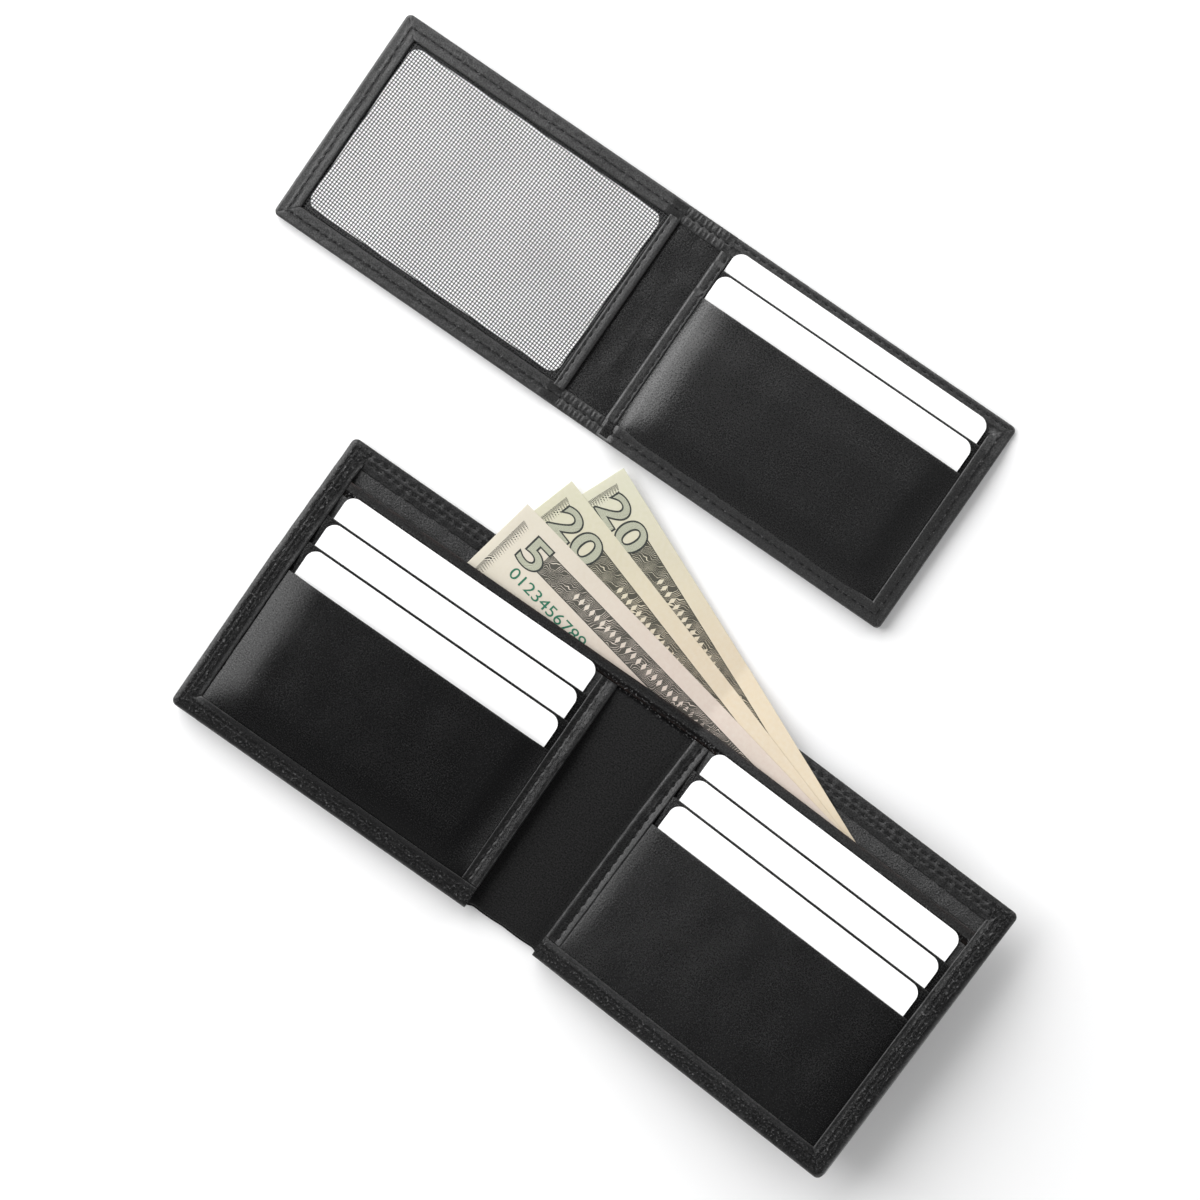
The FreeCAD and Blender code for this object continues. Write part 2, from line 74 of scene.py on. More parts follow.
# ================================ the wallet's cover
# One piece of black nappa calf makes the back, the fold and the front.
# It is 0.9 mm thick, skived to a feather where it turns over the card panels.
# It is cut here at the middle of the fold, so that each part reaches onto the spine.
MM = 0.001
COVER_THICK = 0.9
HALF_WIDTH = 101.7
HEIGHT = 91.0
FOLD_CUT = 11.4
FOLD_ZONE = 2.4
FOLD_INSET = 1.0
PANEL_END = HALF_WIDTH - 0.8
CORNER = 1.8
hinges = {joint["name"]: joint for joint in frame["joints"]}
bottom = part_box("cover_left")[0].y / MM


def crease_line(name):
    """A crease as (a point at the wallet's bottom, its direction up the wallet, its height), in mm."""
    x, y, z = (value / MM for value in hinges[name]["pos_m"])
    along = -Vector(hinges[name]["axis"])
    foot = Vector((x, y, 0)) + along * ((bottom - y) / along.y)
    return foot, along, z


left_foot, _, fold_height = crease_line("crease_left")
right_foot, right_along, _ = crease_line("crease_right")
rest_tilt = math.radians(-hinges["crease_right"]["range_deg"][0])


def left_place(s, v, z):
    """A point of the left half: s out from its crease, v up from the bottom, z up from the table."""
    return np.stack([left_foot.x - s, bottom + v, z + 0 * s], -1)


def out_of_crease(x, y):
    """How far a flat point lies from the right crease, out over the right half."""
    return (x - right_foot.x) * right_along.y - (y - right_foot.y) * right_along.x


def stand_up(x, y, z):
    """Where a flat point comes to when the right half stands up a little at its crease."""
    out, up = out_of_crease(x, y), z - fold_height
    share = np.clip((out + FOLD_ZONE) / (2 * FOLD_ZONE), 0, 1)
    turn = rest_tilt * share * share * (3 - 2 * share)
    moved = out * np.cos(turn) - up * np.sin(turn) - out
    lift = out * np.sin(turn) + up * np.cos(turn) + fold_height
    return np.stack([x + moved * right_along.y, y - moved * right_along.x, lift], -1)


def right_place(s, v, z):
    """A point of the right half, which stands up a little; a negative s lies on the spine."""
    foot_x, foot_y = right_foot.x + v * right_along.x, bottom + v * right_along.y
    out, spine = np.maximum(s, 0), np.minimum(s, 0) / FOLD_CUT
    x = foot_x + out * right_along.y + spine * (foot_x - left_foot.x - FOLD_CUT)
    y = foot_y - out * right_along.x + spine * (foot_y - bottom - v)
    return stand_up(x, y, z)


def fold_ends(place, zone, middle, level):
    """Where the leather starts and stops bending at a crease, in metres."""
    return [place(np.array(s), np.array(middle), np.array(level)) * MM for s in (zone, -zone)]


left_ends = fold_ends(left_place, FOLD_ZONE, HEIGHT / 2, fold_height)
right_ends = fold_ends(right_place, FOLD_ZONE, HEIGHT / 2, fold_height)
WALLET = {
    "left": (left_place, "left_half", ("left_half", "spine", *left_ends)),
    "right": (right_place, "right_half", ("spine", "right_half", *right_ends[::-1])),
}


def grid_lines(low, high, step, roll, fine):
    """Cutting lines over a sheet: very close at its rolled edges, close in the fine bands."""
    near = roll * np.array([0, 0.08, 0.3, 0.62])
    inner, x = [], low + roll
    while x < high - roll - 0.01:
        inner.append(x)
        steps = [fine_step for a, b, fine_step in fine if a - 1e-6 <= x < b]
        starts = [a for a, b, _ in fine if x < a - 1e-6]
        x = min([x + min([step] + steps)] + starts)
    return np.array([*(low + near), *inner, high - roll, *(high - near[::-1])])


def make_piece(name, points, faces, cut, worn, material, sharp=0.9, sewn=None):
    """A mesh piece from points in mm, with each one's place on the cut hide and how worn and sewn it is."""
    faces = [tuple(dict.fromkeys(face)) for face in faces]
    faces = [face for face in faces if len(face) > 2]
    used = np.unique([index for face in faces for index in face])
    renumber = np.zeros(len(points), int)
    renumber[used] = np.arange(len(used))
    mesh = bpy.data.meshes.new(name)
    mesh.from_pydata((points[used] * MM).tolist(), [], [[int(renumber[i]) for i in face] for face in faces])
    shell = bmesh.new()
    shell.from_mesh(mesh)
    bmesh.ops.recalc_face_normals(shell, faces=shell.faces)
    shell.to_mesh(mesh)
    shell.free()
    corner_points = np.zeros(len(mesh.loops), int)
    mesh.loops.foreach_get("vertex_index", corner_points)
    layer = mesh.uv_layers.new(name="cut")
    layer.data.foreach_set("uv", (cut[used] * MM)[corner_points].astype(np.float32).ravel())
    for label, values in (("worn", worn), ("sewn", 0 * worn if sewn is None else sewn)):
        attribute = mesh.attributes.new(label, "FLOAT", "POINT")
        attribute.data.foreach_set("value", values[used].astype(np.float32))
    mesh.shade_smooth()
    mesh.set_sharp_from_angle(angle=sharp)
    mesh.materials.append(material)
    piece = bpy.data.objects.new(name, mesh)
    bpy.context.scene.collection.objects.link(piece)
    return piece


def cut_sheet(name, place, s_ends, v_ends, under, thick, material, step=1.5, rims="oooo",
              rounded=(), radius=CORNER, fine_s=(), fine_v=(), shift=None, seed=0, sewn=None):
    """A closed sheet of leather, paper or mesh. rims says how each side ends (s low, s high, v low,
    v high): o rounded, t rolled on top, u rolled beneath, f cut flat."""
    roll = [0.5 * thick, thick]["t" in rims or "u" in rims]
    s_lines = grid_lines(*s_ends, step, roll, fine_s)
    v_lines = grid_lines(*v_ends, step, roll, fine_v)
    s, v = np.meshgrid(s_lines, v_lines, indexing="ij")
    gaps = [s - s_ends[0], s_ends[1] - s, v - v_ends[0], v_ends[1] - v]
    far = np.full_like(s, 1e3)
    over = np.minimum.reduce([far] + [gap for gap, rim in zip(gaps, rims) if rim in "ot"])
    beneath = np.minimum.reduce([far] + [gap for gap, rim in zip(gaps, rims) if rim in "ou"])
    full = [np.sqrt(1 - (1 - np.clip(gap / roll, 0, 1)) ** 2) for gap in (over, beneath)]
    merged = np.minimum.reduce([far] + [gap for gap, rim in zip(gaps, rims) if rim != "f"]) < 1e-9
    cut = np.stack([s + 17.3 * seed, v + 31.7 * seed], -1)
    for corner_s, corner_v in rounded:
        centre_s = corner_s - math.copysign(radius, corner_s - s.mean())
        centre_v = corner_v - math.copysign(radius, corner_v - v.mean())
        out_s = (s - centre_s) / (corner_s - centre_s)
        out_v = (v - centre_v) / (corner_v - centre_v)
        inside = (out_s > 0) & (out_v > 0)
        pull = np.where(inside, np.maximum(out_s, out_v) / np.maximum(np.hypot(out_s, out_v), 1e-9), 1)
        s = np.where(inside, centre_s + out_s * pull * (corner_s - centre_s), s)
        v = np.where(inside, centre_v + out_v * pull * (corner_v - centre_v), v)
    low = under(s, v) if callable(under) else under + 0 * s
    if shift:
        s, v = shift(s, v)
    if roll < thick:
        tops = low + thick * (0.5 + 0.5 * full[0])
        lows = low + thick * (0.5 - 0.5 * full[1])
    else:
        tops, lows = low + thick * full[0], low + thick * (1 - full[1])
        tops, lows = np.maximum(tops, lows), np.minimum(tops, lows)
    lows = np.where(merged, tops, lows)
    points = np.concatenate([place(s, v, tops).reshape(-1, 3), place(s, v, lows).reshape(-1, 3)])
    rows, columns = s.shape
    top_index = np.arange(rows * columns).reshape(rows, columns)
    low_index = np.where(merged, top_index, top_index + rows * columns)
    faces = []
    for index in (top_index, low_index):
        quads = np.stack([index[:-1, :-1], index[1:, :-1], index[1:, 1:], index[:-1, 1:]], -1)
        faces += quads.reshape(-1, 4).tolist()
    for line in (0, -1):
        for a, b in ((top_index[line], low_index[line]), (top_index[:, line], low_index[:, line])):
            faces += np.stack([a[:-1], a[1:], b[1:], b[:-1]], -1).tolist()
    worn = np.exp(-np.minimum(over, beneath) / 0.35)
    pulled = np.tile(sewn(s, v).ravel(), 2) if sewn else None
    cut, worn = np.tile(cut.reshape(-1, 2), (2, 1)), np.tile(worn.ravel(), 2)
    return make_piece(name, points, faces, cut, worn, material, sewn=pulled)


def fasten(piece, nodes, bodies):
    """Fixes a piece to its body, or leaves it unattached where it lies when it sits between two bodies;
    either way it takes the place of the CAD nodes it stands for.
    """
    if isinstance(bodies, str):
        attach(piece, bodies)
    else:
        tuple(bodies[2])
        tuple(bodies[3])
        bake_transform(piece)
    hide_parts(*nodes)
    return piece


def fade(x, start, end):
    """A smooth step: 0 at start, 1 at end."""
    share = np.clip((x - start) / (end - start), 0, 1)
    return share * share * (3 - 2 * share)


def ripple(s, v, size, seed):
    """The gentle unevenness of worked leather, from about -1 to 1, over lengths of about size."""
    dice = np.random.default_rng(seed)
    total = 0
    for _ in range(7):
        angle, phase, scale = dice.uniform(0, 2 * math.pi), dice.uniform(0, 6.28), dice.uniform(0.6, 1.7)
        along = s * math.cos(angle) + v * math.sin(angle)
        total = total + np.sin(2 * math.pi / size * scale * along + phase)
    return total / 4


class Value:
    """What a shader socket gives. Arithmetic and comparisons on it add the maths nodes to its tree."""

    def __init__(self, socket):
        self.socket = socket

    def maths(self, operation, other=0.0, swapped=False):
        pair = (other, self) if swapped else (self, other)
        return add(self.socket.id_data, "ShaderNodeMath", dict(enumerate(pair)), operation=operation)[0]

    __add__ = partialmethod(maths, "ADD")
    __sub__ = partialmethod(maths, "SUBTRACT")
    __rsub__ = partialmethod(maths, "SUBTRACT", swapped=True)
    __mul__ = partialmethod(maths, "MULTIPLY")
    __lt__ = partialmethod(maths, "LESS_THAN")
    __gt__ = partialmethod(maths, "GREATER_THAN")


def plug(node, inputs):
    """Links or sets each named input of a shader node."""
    for name, value in inputs.items():
        if isinstance(value, Value):
            node.id_data.links.new(value.socket, node.inputs[name])
        else:
            node.inputs[name].default_value = value


def add(tree, kind, inputs=None, **settings):
    """One shader node with its settings and inputs, as the list of what it gives."""
    made = tree.nodes.new(kind)
    for setting, value in settings.items():
        setattr(made, setting, value)
    plug(made, inputs or {})
    return [Value(socket) for socket in made.outputs]


def cut_place(tree):
    """Where a point lies on the cut hide or paper, in metres."""
    return add(tree, "ShaderNodeUVMap", uv_map="cut")[0]


def noise(place, scale, detail=2.0, **more):
    inputs = {"Vector": place, "Scale": scale, "Detail": detail, **more}
    return add(place.socket.id_data, "ShaderNodeTexNoise", inputs)[0]


def spread(value, low, high, first, last):
    """The value stretched so that low to high becomes first to last."""
    inputs = dict(enumerate((value, low, high, first, last)))
    return add(value.socket.id_data, "ShaderNodeMapRange", inputs)[0]


def mix_colour(share, first, second):
    """From the first colour to the second as share goes from 0 to 1."""
    colours = [made if isinstance(made, Value) else (*made, 1) for made in (first, second)]
    inputs = {0: share, 6: colours[0], 7: colours[1]}
    return add(share.socket.id_data, "ShaderNodeMix", inputs, data_type="RGBA")[2]


def bumped(height, distance):
    """The normal of a surface whose relief is height, times distance in metres."""
    return add(height.socket.id_data, "ShaderNodeBump", {"Height": height, "Distance": distance})[0]


def new_group(name, inputs):
    """An empty shader group, and its numbers to use inside it; inputs are {name: value}."""
    group = bpy.data.node_groups.new(name, "ShaderNodeTree")
    for socket, value in inputs.items():
        made = group.interface.new_socket(name=socket, in_out="INPUT", socket_type="NodeSocketFloat")
        made.default_value = value
    return group, {socket.name: Value(socket) for socket in group.nodes.new("NodeGroupInput").outputs}


def give(group, outputs):
    """Makes the named values what the group gives."""
    for socket in outputs:
        group.interface.new_socket(name=socket, in_out="OUTPUT", socket_type="NodeSocketFloat")
    plug(group.nodes.new("NodeGroupOutput"), outputs)


def new_material(name):
    """A new material, its shader tree and the Principled shader in it."""
    material = bpy.data.materials.new(name)
    material.use_nodes = True
    return material, material.node_tree, material.node_tree.nodes["Principled BSDF"]


# Leather grain: small pebbles with fine pores between them, and a slow change of tone over the hide.
# Where the piece is sewn, the leather is crumpled in relief, and pale glints are painted into its colour
# there: painted highlights for the crumples that catch the light.
PEBBLES_PER_METRE = 1000 / 0.45
grain_group, taken = new_group("leather_grain", {"Creasing": 0.3})
hide = cut_place(grain_group)
pebbles = add(grain_group, "ShaderNodeTexVoronoi", {"Vector": hide, "Scale": PEBBLES_PER_METRE,
                                                    "Smoothness": 0.6}, feature="SMOOTH_F1")[0]
pores = noise(hide, PEBBLES_PER_METRE * 2.6, 4.0)
slack = noise(hide, 260.0, 5.0, Roughness=0.6, Distortion=0.8)
crumple = noise(hide, 1500.0, 3.0, Distortion=0.4)
sewn_here = add(grain_group, "ShaderNodeAttribute", attribute_name="sewn")[2]
give(grain_group, {
    "Height": pores * 0.5 - pebbles * 0.6 + slack * taken["Creasing"] + crumple * 7.0 * sewn_here,
    "Tone": spread(noise(hide, 55.0, 6.0), 0.32, 0.68, 0.0, 1.0),
    "Specks": spread(noise(hide, PEBBLES_PER_METRE * 1.1), 0.3, 0.7, -0.5, 0.5),
    "Flecks": spread(crumple, 0.58, 0.66, 0.0, 1.0) * sewn_here,
    "Sewn": sewn_here,
})

# Edge wear: polish and paleness that break up along the edges, stronger where Amount is higher.
wear_group, taken = new_group("edge_wear", {"Amount": 0.5})
worn_edge = add(wear_group, "ShaderNodeAttribute", attribute_name="worn")[2]
patches = spread(noise(cut_place(wear_group), 330.0, 4.0), 0.35, 0.62, 0.0, 1.0)
give(wear_group, {"Mask": worn_edge * patches * taken["Amount"]})

# Pale grey of the painted glints: a painted highlight on sewn, crumpled leather, not a colour of the hide.
PAINTED_GLINT_COLOUR = (0.075, 0.075, 0.076)


def leather(name, dark, light, worn_colour, rough, depth, wear, creasing, gloss):
    """A dyed leather: dark and light are the two tones of its dye, depth the grain's height in mm."""
    material, tree, shader = new_material(name)
    grain = add(tree, "ShaderNodeGroup", {"Creasing": creasing}, node_tree=grain_group)
    height, tone, specks, painted_glints, sewn = grain
    edge = add(tree, "ShaderNodeGroup", {"Amount": wear}, node_tree=wear_group)[0]
    dye = mix_colour(edge, mix_colour(tone, dark, light), worn_colour)
    dull = spread(tone, 0.0, 1.0, rough + 0.05, rough - 0.04)
    plug(shader, {
        # Where the leather is sewn, pale painted highlights are mixed into its base colour.
        "Base Color": mix_colour(painted_glints * 0.7, dye, PAINTED_GLINT_COLOUR),
        "Roughness": dull + specks * 0.16 - edge * 0.12,
        "Normal": bumped(height, depth * MM),
        "Specular IOR Level": (specks * 1.2 + 1.0) * (1.0 - (sewn - painted_glints) * 0.7) * gloss,
    })
    return material


wallet_leather = leather("wallet_leather", (0.0035, 0.0035, 0.0037), (0.006, 0.006, 0.0062),
                         (0.04, 0.04, 0.04), 0.25, 0.06, 0.3, creasing=0.05, gloss=0.31)


def tuck_in(s, v):
    """At the fold the cover's bottom edge draws in a little and bows."""
    inward = fade(-s, -1.2, 1.6) * np.clip(1 - v / 14, 0, 1) ** 2
    bow = 0.25 * np.sin(np.clip(-s / FOLD_CUT, 0, 1) * math.pi)
    return s, v + inward * (FOLD_INSET - bow)


cover_leather = leather("cover_leather", (0.0045, 0.0045, 0.0047), (0.008, 0.008, 0.0082),
                        (0.04, 0.04, 0.04), 0.56, 0.12, 0.3, creasing=0.06, gloss=0.2)
for side, (place, body, bend) in WALLET.items():
    cover = cut_sheet(
        f"cover_{side}", place, (-FOLD_CUT, HALF_WIDTH), (0, HEIGHT), 0.0, COVER_THICK, cover_leather,
        rims="fuuu", rounded=[(HALF_WIDTH, 0), (HALF_WIDTH, HEIGHT)], fine_s=[(-5, 3, 0.6)], shift=tuck_in,
        seed=len(side),
    )
    fasten(cover, [f"cover_{side}", "cover_spine"], bend)

# ================================ bill compartment
# The inside of the back wall: a thin lining leather, and along the top the cover's own edge,
# turned over by 6.8 mm and sewn down with two rows of black thread.
LINING_THICK = 0.25
HEM_LOW = 84.2
HEM_HEIGHT = 0.72
HEM_THICK = 0.35
OUTER_ROW = 2.1
INNER_ROW = 4.0
STITCH = 3.0
EDGE_BAND = 6.6
PRESSED = 0.05
lining_leather = leather("lining_leather", (0.0042, 0.0042, 0.0044), (0.0072, 0.0072, 0.0075),
                         (0.03, 0.03, 0.03), 0.42, 0.11, 0.2, creasing=0.3, gloss=0.58)


def seam_dip(s, v, runs, depth, width):
    """How far the leather is drawn down along its sewn runs, deepest under each stitch."""
    dip = 0 * s
    for (s0, v0), (s1, v1) in runs:
        length = math.hypot(s1 - s0, v1 - v0)
        along = ((s - s0) * (s1 - s0) + (v - v0) * (v1 - v0)) / length
        aside = ((s - s0) * (v1 - v0) - (v - v0) * (s1 - s0)) / length
        count = round(length / STITCH)
        pull = 0.6 + 0.4 * np.cos(2 * math.pi * (along / length * count - 0.5))
        here = fade(along, -0.8, 0.2) * fade(length - along, -0.8, 0.2)
        dip = np.maximum(dip, depth * pull * here * np.exp(-(aside / width) ** 2))
    return dip


wall_rows = [((-FOLD_CUT, HEIGHT - row), (HALF_WIDTH - row, HEIGHT - row)) for row in (OUTER_ROW, INNER_ROW)]


def sewn_along(*rows, strength=1.0, width=0.6):
    """How strongly stitches at these heights crumple the leather."""
    return lambda s, v: strength * sum(np.exp(-((v - row) / width) ** 2) for row in rows)


def wall_hem_under(s, v):
    """The turned-over strip stands up between its rows and thins to its skived lower edge."""
    inset = HEIGHT - v
    rise = HEM_HEIGHT - HEM_THICK - 0.3 * fade(inset, 4.6, 6.6) + 0.06 * ripple(s, v, 5, 3)
    between_rows = 0.1 * np.exp(-((inset - (OUTER_ROW + INNER_ROW) / 2) / 0.5) ** 2)
    return COVER_THICK + rise - seam_dip(s, v, wall_rows, 0.38, 0.42) + between_rows


def lining_under(s, v):
    """The lining is glued on softly and ripples a little where the back wall opens."""
    return COVER_THICK + 0.14 * np.abs(ripple(s, v, 15, 4)) * fade(s, 5, 15) * fade(95 - s, 0, 10)


wall_hem_leather = leather("wall_hem_leather", (0.004, 0.004, 0.0042), (0.0068, 0.0068, 0.0071),
                           (0.03, 0.03, 0.03), 0.42, 0.08, 0.2, creasing=0.2, gloss=0.38)
for side, (place, body, bend) in WALLET.items():
    lining = cut_sheet(
        f"bill_lining_{side}", place, (-FOLD_CUT, PANEL_END), (0.8, HEM_LOW + 1.5), lining_under,
        LINING_THICK, lining_leather, rims="fooo", fine_s=[(-5, 3, 0.6)], shift=tuck_in, seed=3 + len(side),
    )
    fasten(lining, [f"bill_lining_{side}", "bill_lining_spine"], bend)
    hem = cut_sheet(
        f"back_wall_hem_{side}", place, (-FOLD_CUT, HALF_WIDTH - 2.5), (HEM_LOW, HEIGHT), wall_hem_under,
        HEM_THICK, wall_hem_leather, step=0.5, rims="foot", fine_v=[(HEIGHT - 5.2, HEIGHT - 1.0, 0.24)],
        seed=6 + len(side),
        sewn=sewn_along(HEIGHT - OUTER_ROW, HEIGHT - INNER_ROW, strength=0.45, width=0.3),
    )
    fasten(hem, [f"back_wall_hem_{side}", "back_wall_hem_spine"], bend)

# ================================ divider
# The wall in front of the bills, black calf on a thin lining, sewn down at the sides and the bottom.
# Its top edge is turned over by 4 mm and held by one row of stitches that crosses the fold.
DIVIDER_TOP = 79.8
HEM_WIDTH = 4.0
HEM_SEAM = DIVIDER_TOP - 3.5
Z_DIVIDER = 1.95
DIVIDER_THICK = 0.6
SIDE_SEAM = 4.6
hem_row = [((-FOLD_CUT, HEM_SEAM), (HALF_WIDTH - SIDE_SEAM, HEM_SEAM))]


def pressed(s, v):
    """How far the layers are pressed together: 1 in the sewn outer edges, 0 where the cards lie."""
    return np.maximum(fade(s, 93.2, 97.6), fade(5.6 - v, 0.4, 3.6))


def layer(z):
    """The height of a layer over a half, lower in the pressed edges."""
    return lambda s, v: COVER_THICK + (z - COVER_THICK) * (1 - PRESSED * pressed(s, v))


def hem_under(s, v):
    sewn = seam_dip(s, v, hem_row, 0.3, 0.42) - 0.05 * ripple(s, v, 1.6, 12) * fade(DIVIDER_TOP - v, 2, 3)
    bow = 0.05 * np.sin((v - DIVIDER_TOP + HEM_WIDTH) / HEM_WIDTH * math.pi)
    return layer(Z_DIVIDER + DIVIDER_THICK)(s, v) + 0.1 + bow - sewn


divider_leather = leather("divider_leather", (0.0042, 0.0042, 0.0044), (0.0072, 0.0072, 0.0074),
                          (0.04, 0.04, 0.04), 0.42, 0.07, 0.3, creasing=0.05, gloss=0.27)
hem_leather = leather("divider_hem_leather", (0.0045, 0.0045, 0.0047), (0.0085, 0.0083, 0.0083),
                      (0.055, 0.034, 0.028), 0.38, 0.06, 0.4, creasing=0.1, gloss=0.3)


def divider_under(s, v):
    slack = 0.12 * ripple(s, v, 30, 11) * fade(s, 4, 20) * fade(90 - s, 0, 12)
    return layer(Z_DIVIDER)(s, v) - np.abs(slack) - seam_dip(s, v, hem_row, 0.16, 0.5)


for side, (place, body, bend) in WALLET.items():
    divider = cut_sheet(
        f"divider_{side}", place, (-FOLD_CUT, PANEL_END), (0.8, DIVIDER_TOP), divider_under, DIVIDER_THICK,
        divider_leather, rims="fooo", fine_s=[(-FOLD_CUT, 6, 0.6)], fine_v=[(74.2, 78, 0.3)], shift=tuck_in,
        seed=9 + len(side), sewn=sewn_along(HEM_SEAM - 1.0, strength=1.6),
    )
    fasten(divider, [f"divider_{side}", "divider_spine"], bend)
    hem = cut_sheet(
        f"divider_hem_{side}", place, (-FOLD_CUT, HALF_WIDTH - 1.4),
        (DIVIDER_TOP - HEM_WIDTH, DIVIDER_TOP + 0.15), hem_under, HEM_THICK, hem_leather, step=0.5,
        rims="fooo", fine_v=[(75.8, 77.6, 0.22)], seed=12 + len(side),
        sewn=sewn_along(HEM_SEAM - 0.3, HEM_SEAM + 0.7, strength=1.6),
    )
    fasten(hem, [f"divider_hem_{side}", "divider_hem_spine"], bend)

# ================================ card panels
# A thin backing and three stepped card pockets of 0.5 mm calf on each half, all cut to one width.
# The bottom of each pocket is glued and sewn; the front one swells over the cards behind it.
PANEL_START = 1.2
Z_SLOTS = 3.05
SLOT = 0.96
SLOT_STEP = 1.46
POCKET_THICK = 0.5
POCKET_TOPS = {"rear": 68.69, "middle": 59.58, "front": 49.98}
BACKING_TOP = 75.6
SWELL = {"left": (2.7, 10), "right": (0.4, 5.5)}


def dome(x, reach):
    """A rise from 0 to 1 over reach, steepest where it starts."""
    return 1 - (1 - np.clip(x / reach, 0, 1)) ** 2


def swell(s, v, side):
    """The front pocket's rise over the cards, falling away to the edges and held flat at its lip."""
    lip = 0.8 + 0.2 * fade(POCKET_TOPS["front"] - v, 0, 18)
    rise, reach = SWELL[side]
    return rise * dome(95.3 - s, 13) * dome(s - 5.5, reach) * dome(v - 4, 14) * lip


def pocket_under(level, side):
    z = Z_SLOTS + level * SLOT_STEP + SLOT

    def under(s, v):
        lip_side = 0.05 * fade(6.4 - s, 0, 2.8) * (z - COVER_THICK)
        rise = swell(s, v, side) + 0.04 * ripple(s, v, 22, 21) if level == 2 else 0
        return layer(z)(s, v) - lip_side + rise
    return under


for side, (place, body, bend) in WALLET.items():
    backing = cut_sheet(
        f"panel_backing_{side}", place, (PANEL_START, PANEL_END), (0.8, BACKING_TOP), layer(2.75), 0.3,
        lining_leather, seed=15 + len(side),
    )
    fasten(backing, [f"panel_backing_{side}"], body)
    for level, (row, top) in enumerate(POCKET_TOPS.items()):
        pocket = cut_sheet(
            f"pocket_{row}_{side}", place, (PANEL_START, PANEL_END), (0.8, top), pocket_under(level, side),
            POCKET_THICK, wallet_leather, fine_s=[(PANEL_START, 9, 0.5), (86, 101, 0.6)],
            fine_v=[(0.8, 8, 0.6)], seed=20 + 3 * level + len(side),
        )
        fasten(pocket, [f"pocket_{row}_{side}"], body)

# ================================ cards
# Blank white plastic cards to the usual size, 0.76 mm thick, with a matt overlay on a whiter core.
# Their shape is the CAD one; they slide in their pockets.
card_plastic, tree, shader = new_material("card_plastic")
place_on_card = add(tree, "ShaderNodeTexCoord")[3]
clouds = noise(place_on_card, 90.0, 3.0)
plug(shader, {
    "Base Color": mix_colour(clouds, (0.9, 0.9, 0.905), (0.93, 0.93, 0.93)),
    "Roughness": spread(clouds, 0.3, 0.7, 0.34, 0.42),
    "Normal": bumped(noise(place_on_card, 6000.0), 0.000004),
})
for node, thing in frame["nodes"].items():
    if "card" in node:
        thing.data.materials.clear()
        thing.data.materials.append(card_plastic)

# ================================ turned edge
# The cover's skived edge, pulled up over the card panel on the outer side and the bottom and folded
# square at the corners. Two rows of stitches hold it, and the leather puckers between them.
EDGE_THICK = 0.55
EDGE_START = 0.4
BAND_STEP = 0.45
BAND_COLUMN = 0.24
BEND_STEPS = 7
CRUMPLE_REACH = {"left": 0.75, "right": 0.95}
side_rows = [[(HALF_WIDTH - row, HEIGHT - row), (HALF_WIDTH - row, row), (EDGE_START + 0.8, row)]
             for row in (OUTER_ROW, INNER_ROW)]
edge_runs = [run for row in side_rows for run in zip(row, row[1:])]
edge_runs += wall_rows
LIP_STEPS = [(top, SLOT_STEP) for top in POCKET_TOPS.values()] + [(BACKING_TOP, 0.4), (DIVIDER_TOP, 1.5)]


def stack_drop(v):
    """How much less stands under the edge at height v, as each pocket ends."""
    return sum(drop * fade(v, lip - 0.3, lip + 7.5) for lip, drop in LIP_STEPS)


def edge_top(side):
    """The top of the turned edge over the layers that it holds."""
    def height(s, v):
        full = Z_SLOTS + 3 * SLOT_STEP - stack_drop(v) - COVER_THICK
        stack = COVER_THICK + full * (1 - PRESSED * pressed(s, v))
        nearest = np.minimum(HALF_WIDTH - s, v)
        ridge = 0.03 * np.exp(-((nearest - 1.0) / 0.6) ** 2)
        mitre = 0.1 * np.exp(-(np.abs((HALF_WIDTH - s) - v) / 0.3) ** 2) * (nearest < 7)
        sewn_zone = fade(nearest, 1.2, 1.8) * fade(-nearest, -5.0, -4.4)
        uneven = (0.015 + 0.055 * sewn_zone) * ripple(s, v, 1.15, 5) + 0.05 * ripple(s, v, 11, 6)
        rise = swell(s, v, side) * fade(52.5 - v, 0, 3) * fade(nearest, 3.5, 6.6)
        return stack + EDGE_THICK + ridge - mitre + uneven + rise - seam_dip(s, v, edge_runs, 0.2, 0.32)
    return height


EDGE_TOPS = {side: edge_top(side) for side in WALLET}


def route_points(corners, inward, inset, radius, counts):
    """Points along a square route, inset from it, with its corners rounded."""
    corners = np.array(corners, float)
    ways = np.diff(corners, axis=0)
    ways /= np.linalg.norm(ways, axis=1)[:, None]
    normals = inward * np.stack([-ways[:, 1], ways[:, 0]], -1)
    bend = max(radius - inset, 0.03)
    found = []
    for k, way in enumerate(ways):
        first, last = k == 0, k == len(ways) - 1
        start = corners[k] + inset * (normals[k] if first else normals[k] + normals[k - 1])
        end = corners[k + 1] + inset * (normals[k] if last else normals[k] + normals[k + 1])
        start = start if first else start + bend * way
        end = end if last else end - bend * way
        share = np.linspace(0, 1, counts[k])[:, None]
        found.append(start + (end - start) * share)
        if not last:
            centre = end + bend * normals[k]
            turn = np.linspace(0, math.pi / 2, BEND_STEPS)[1:-1, None]
            found.append(centre - bend * normals[k] * np.cos(turn) + bend * way * np.sin(turn))
    return np.concatenate(found)


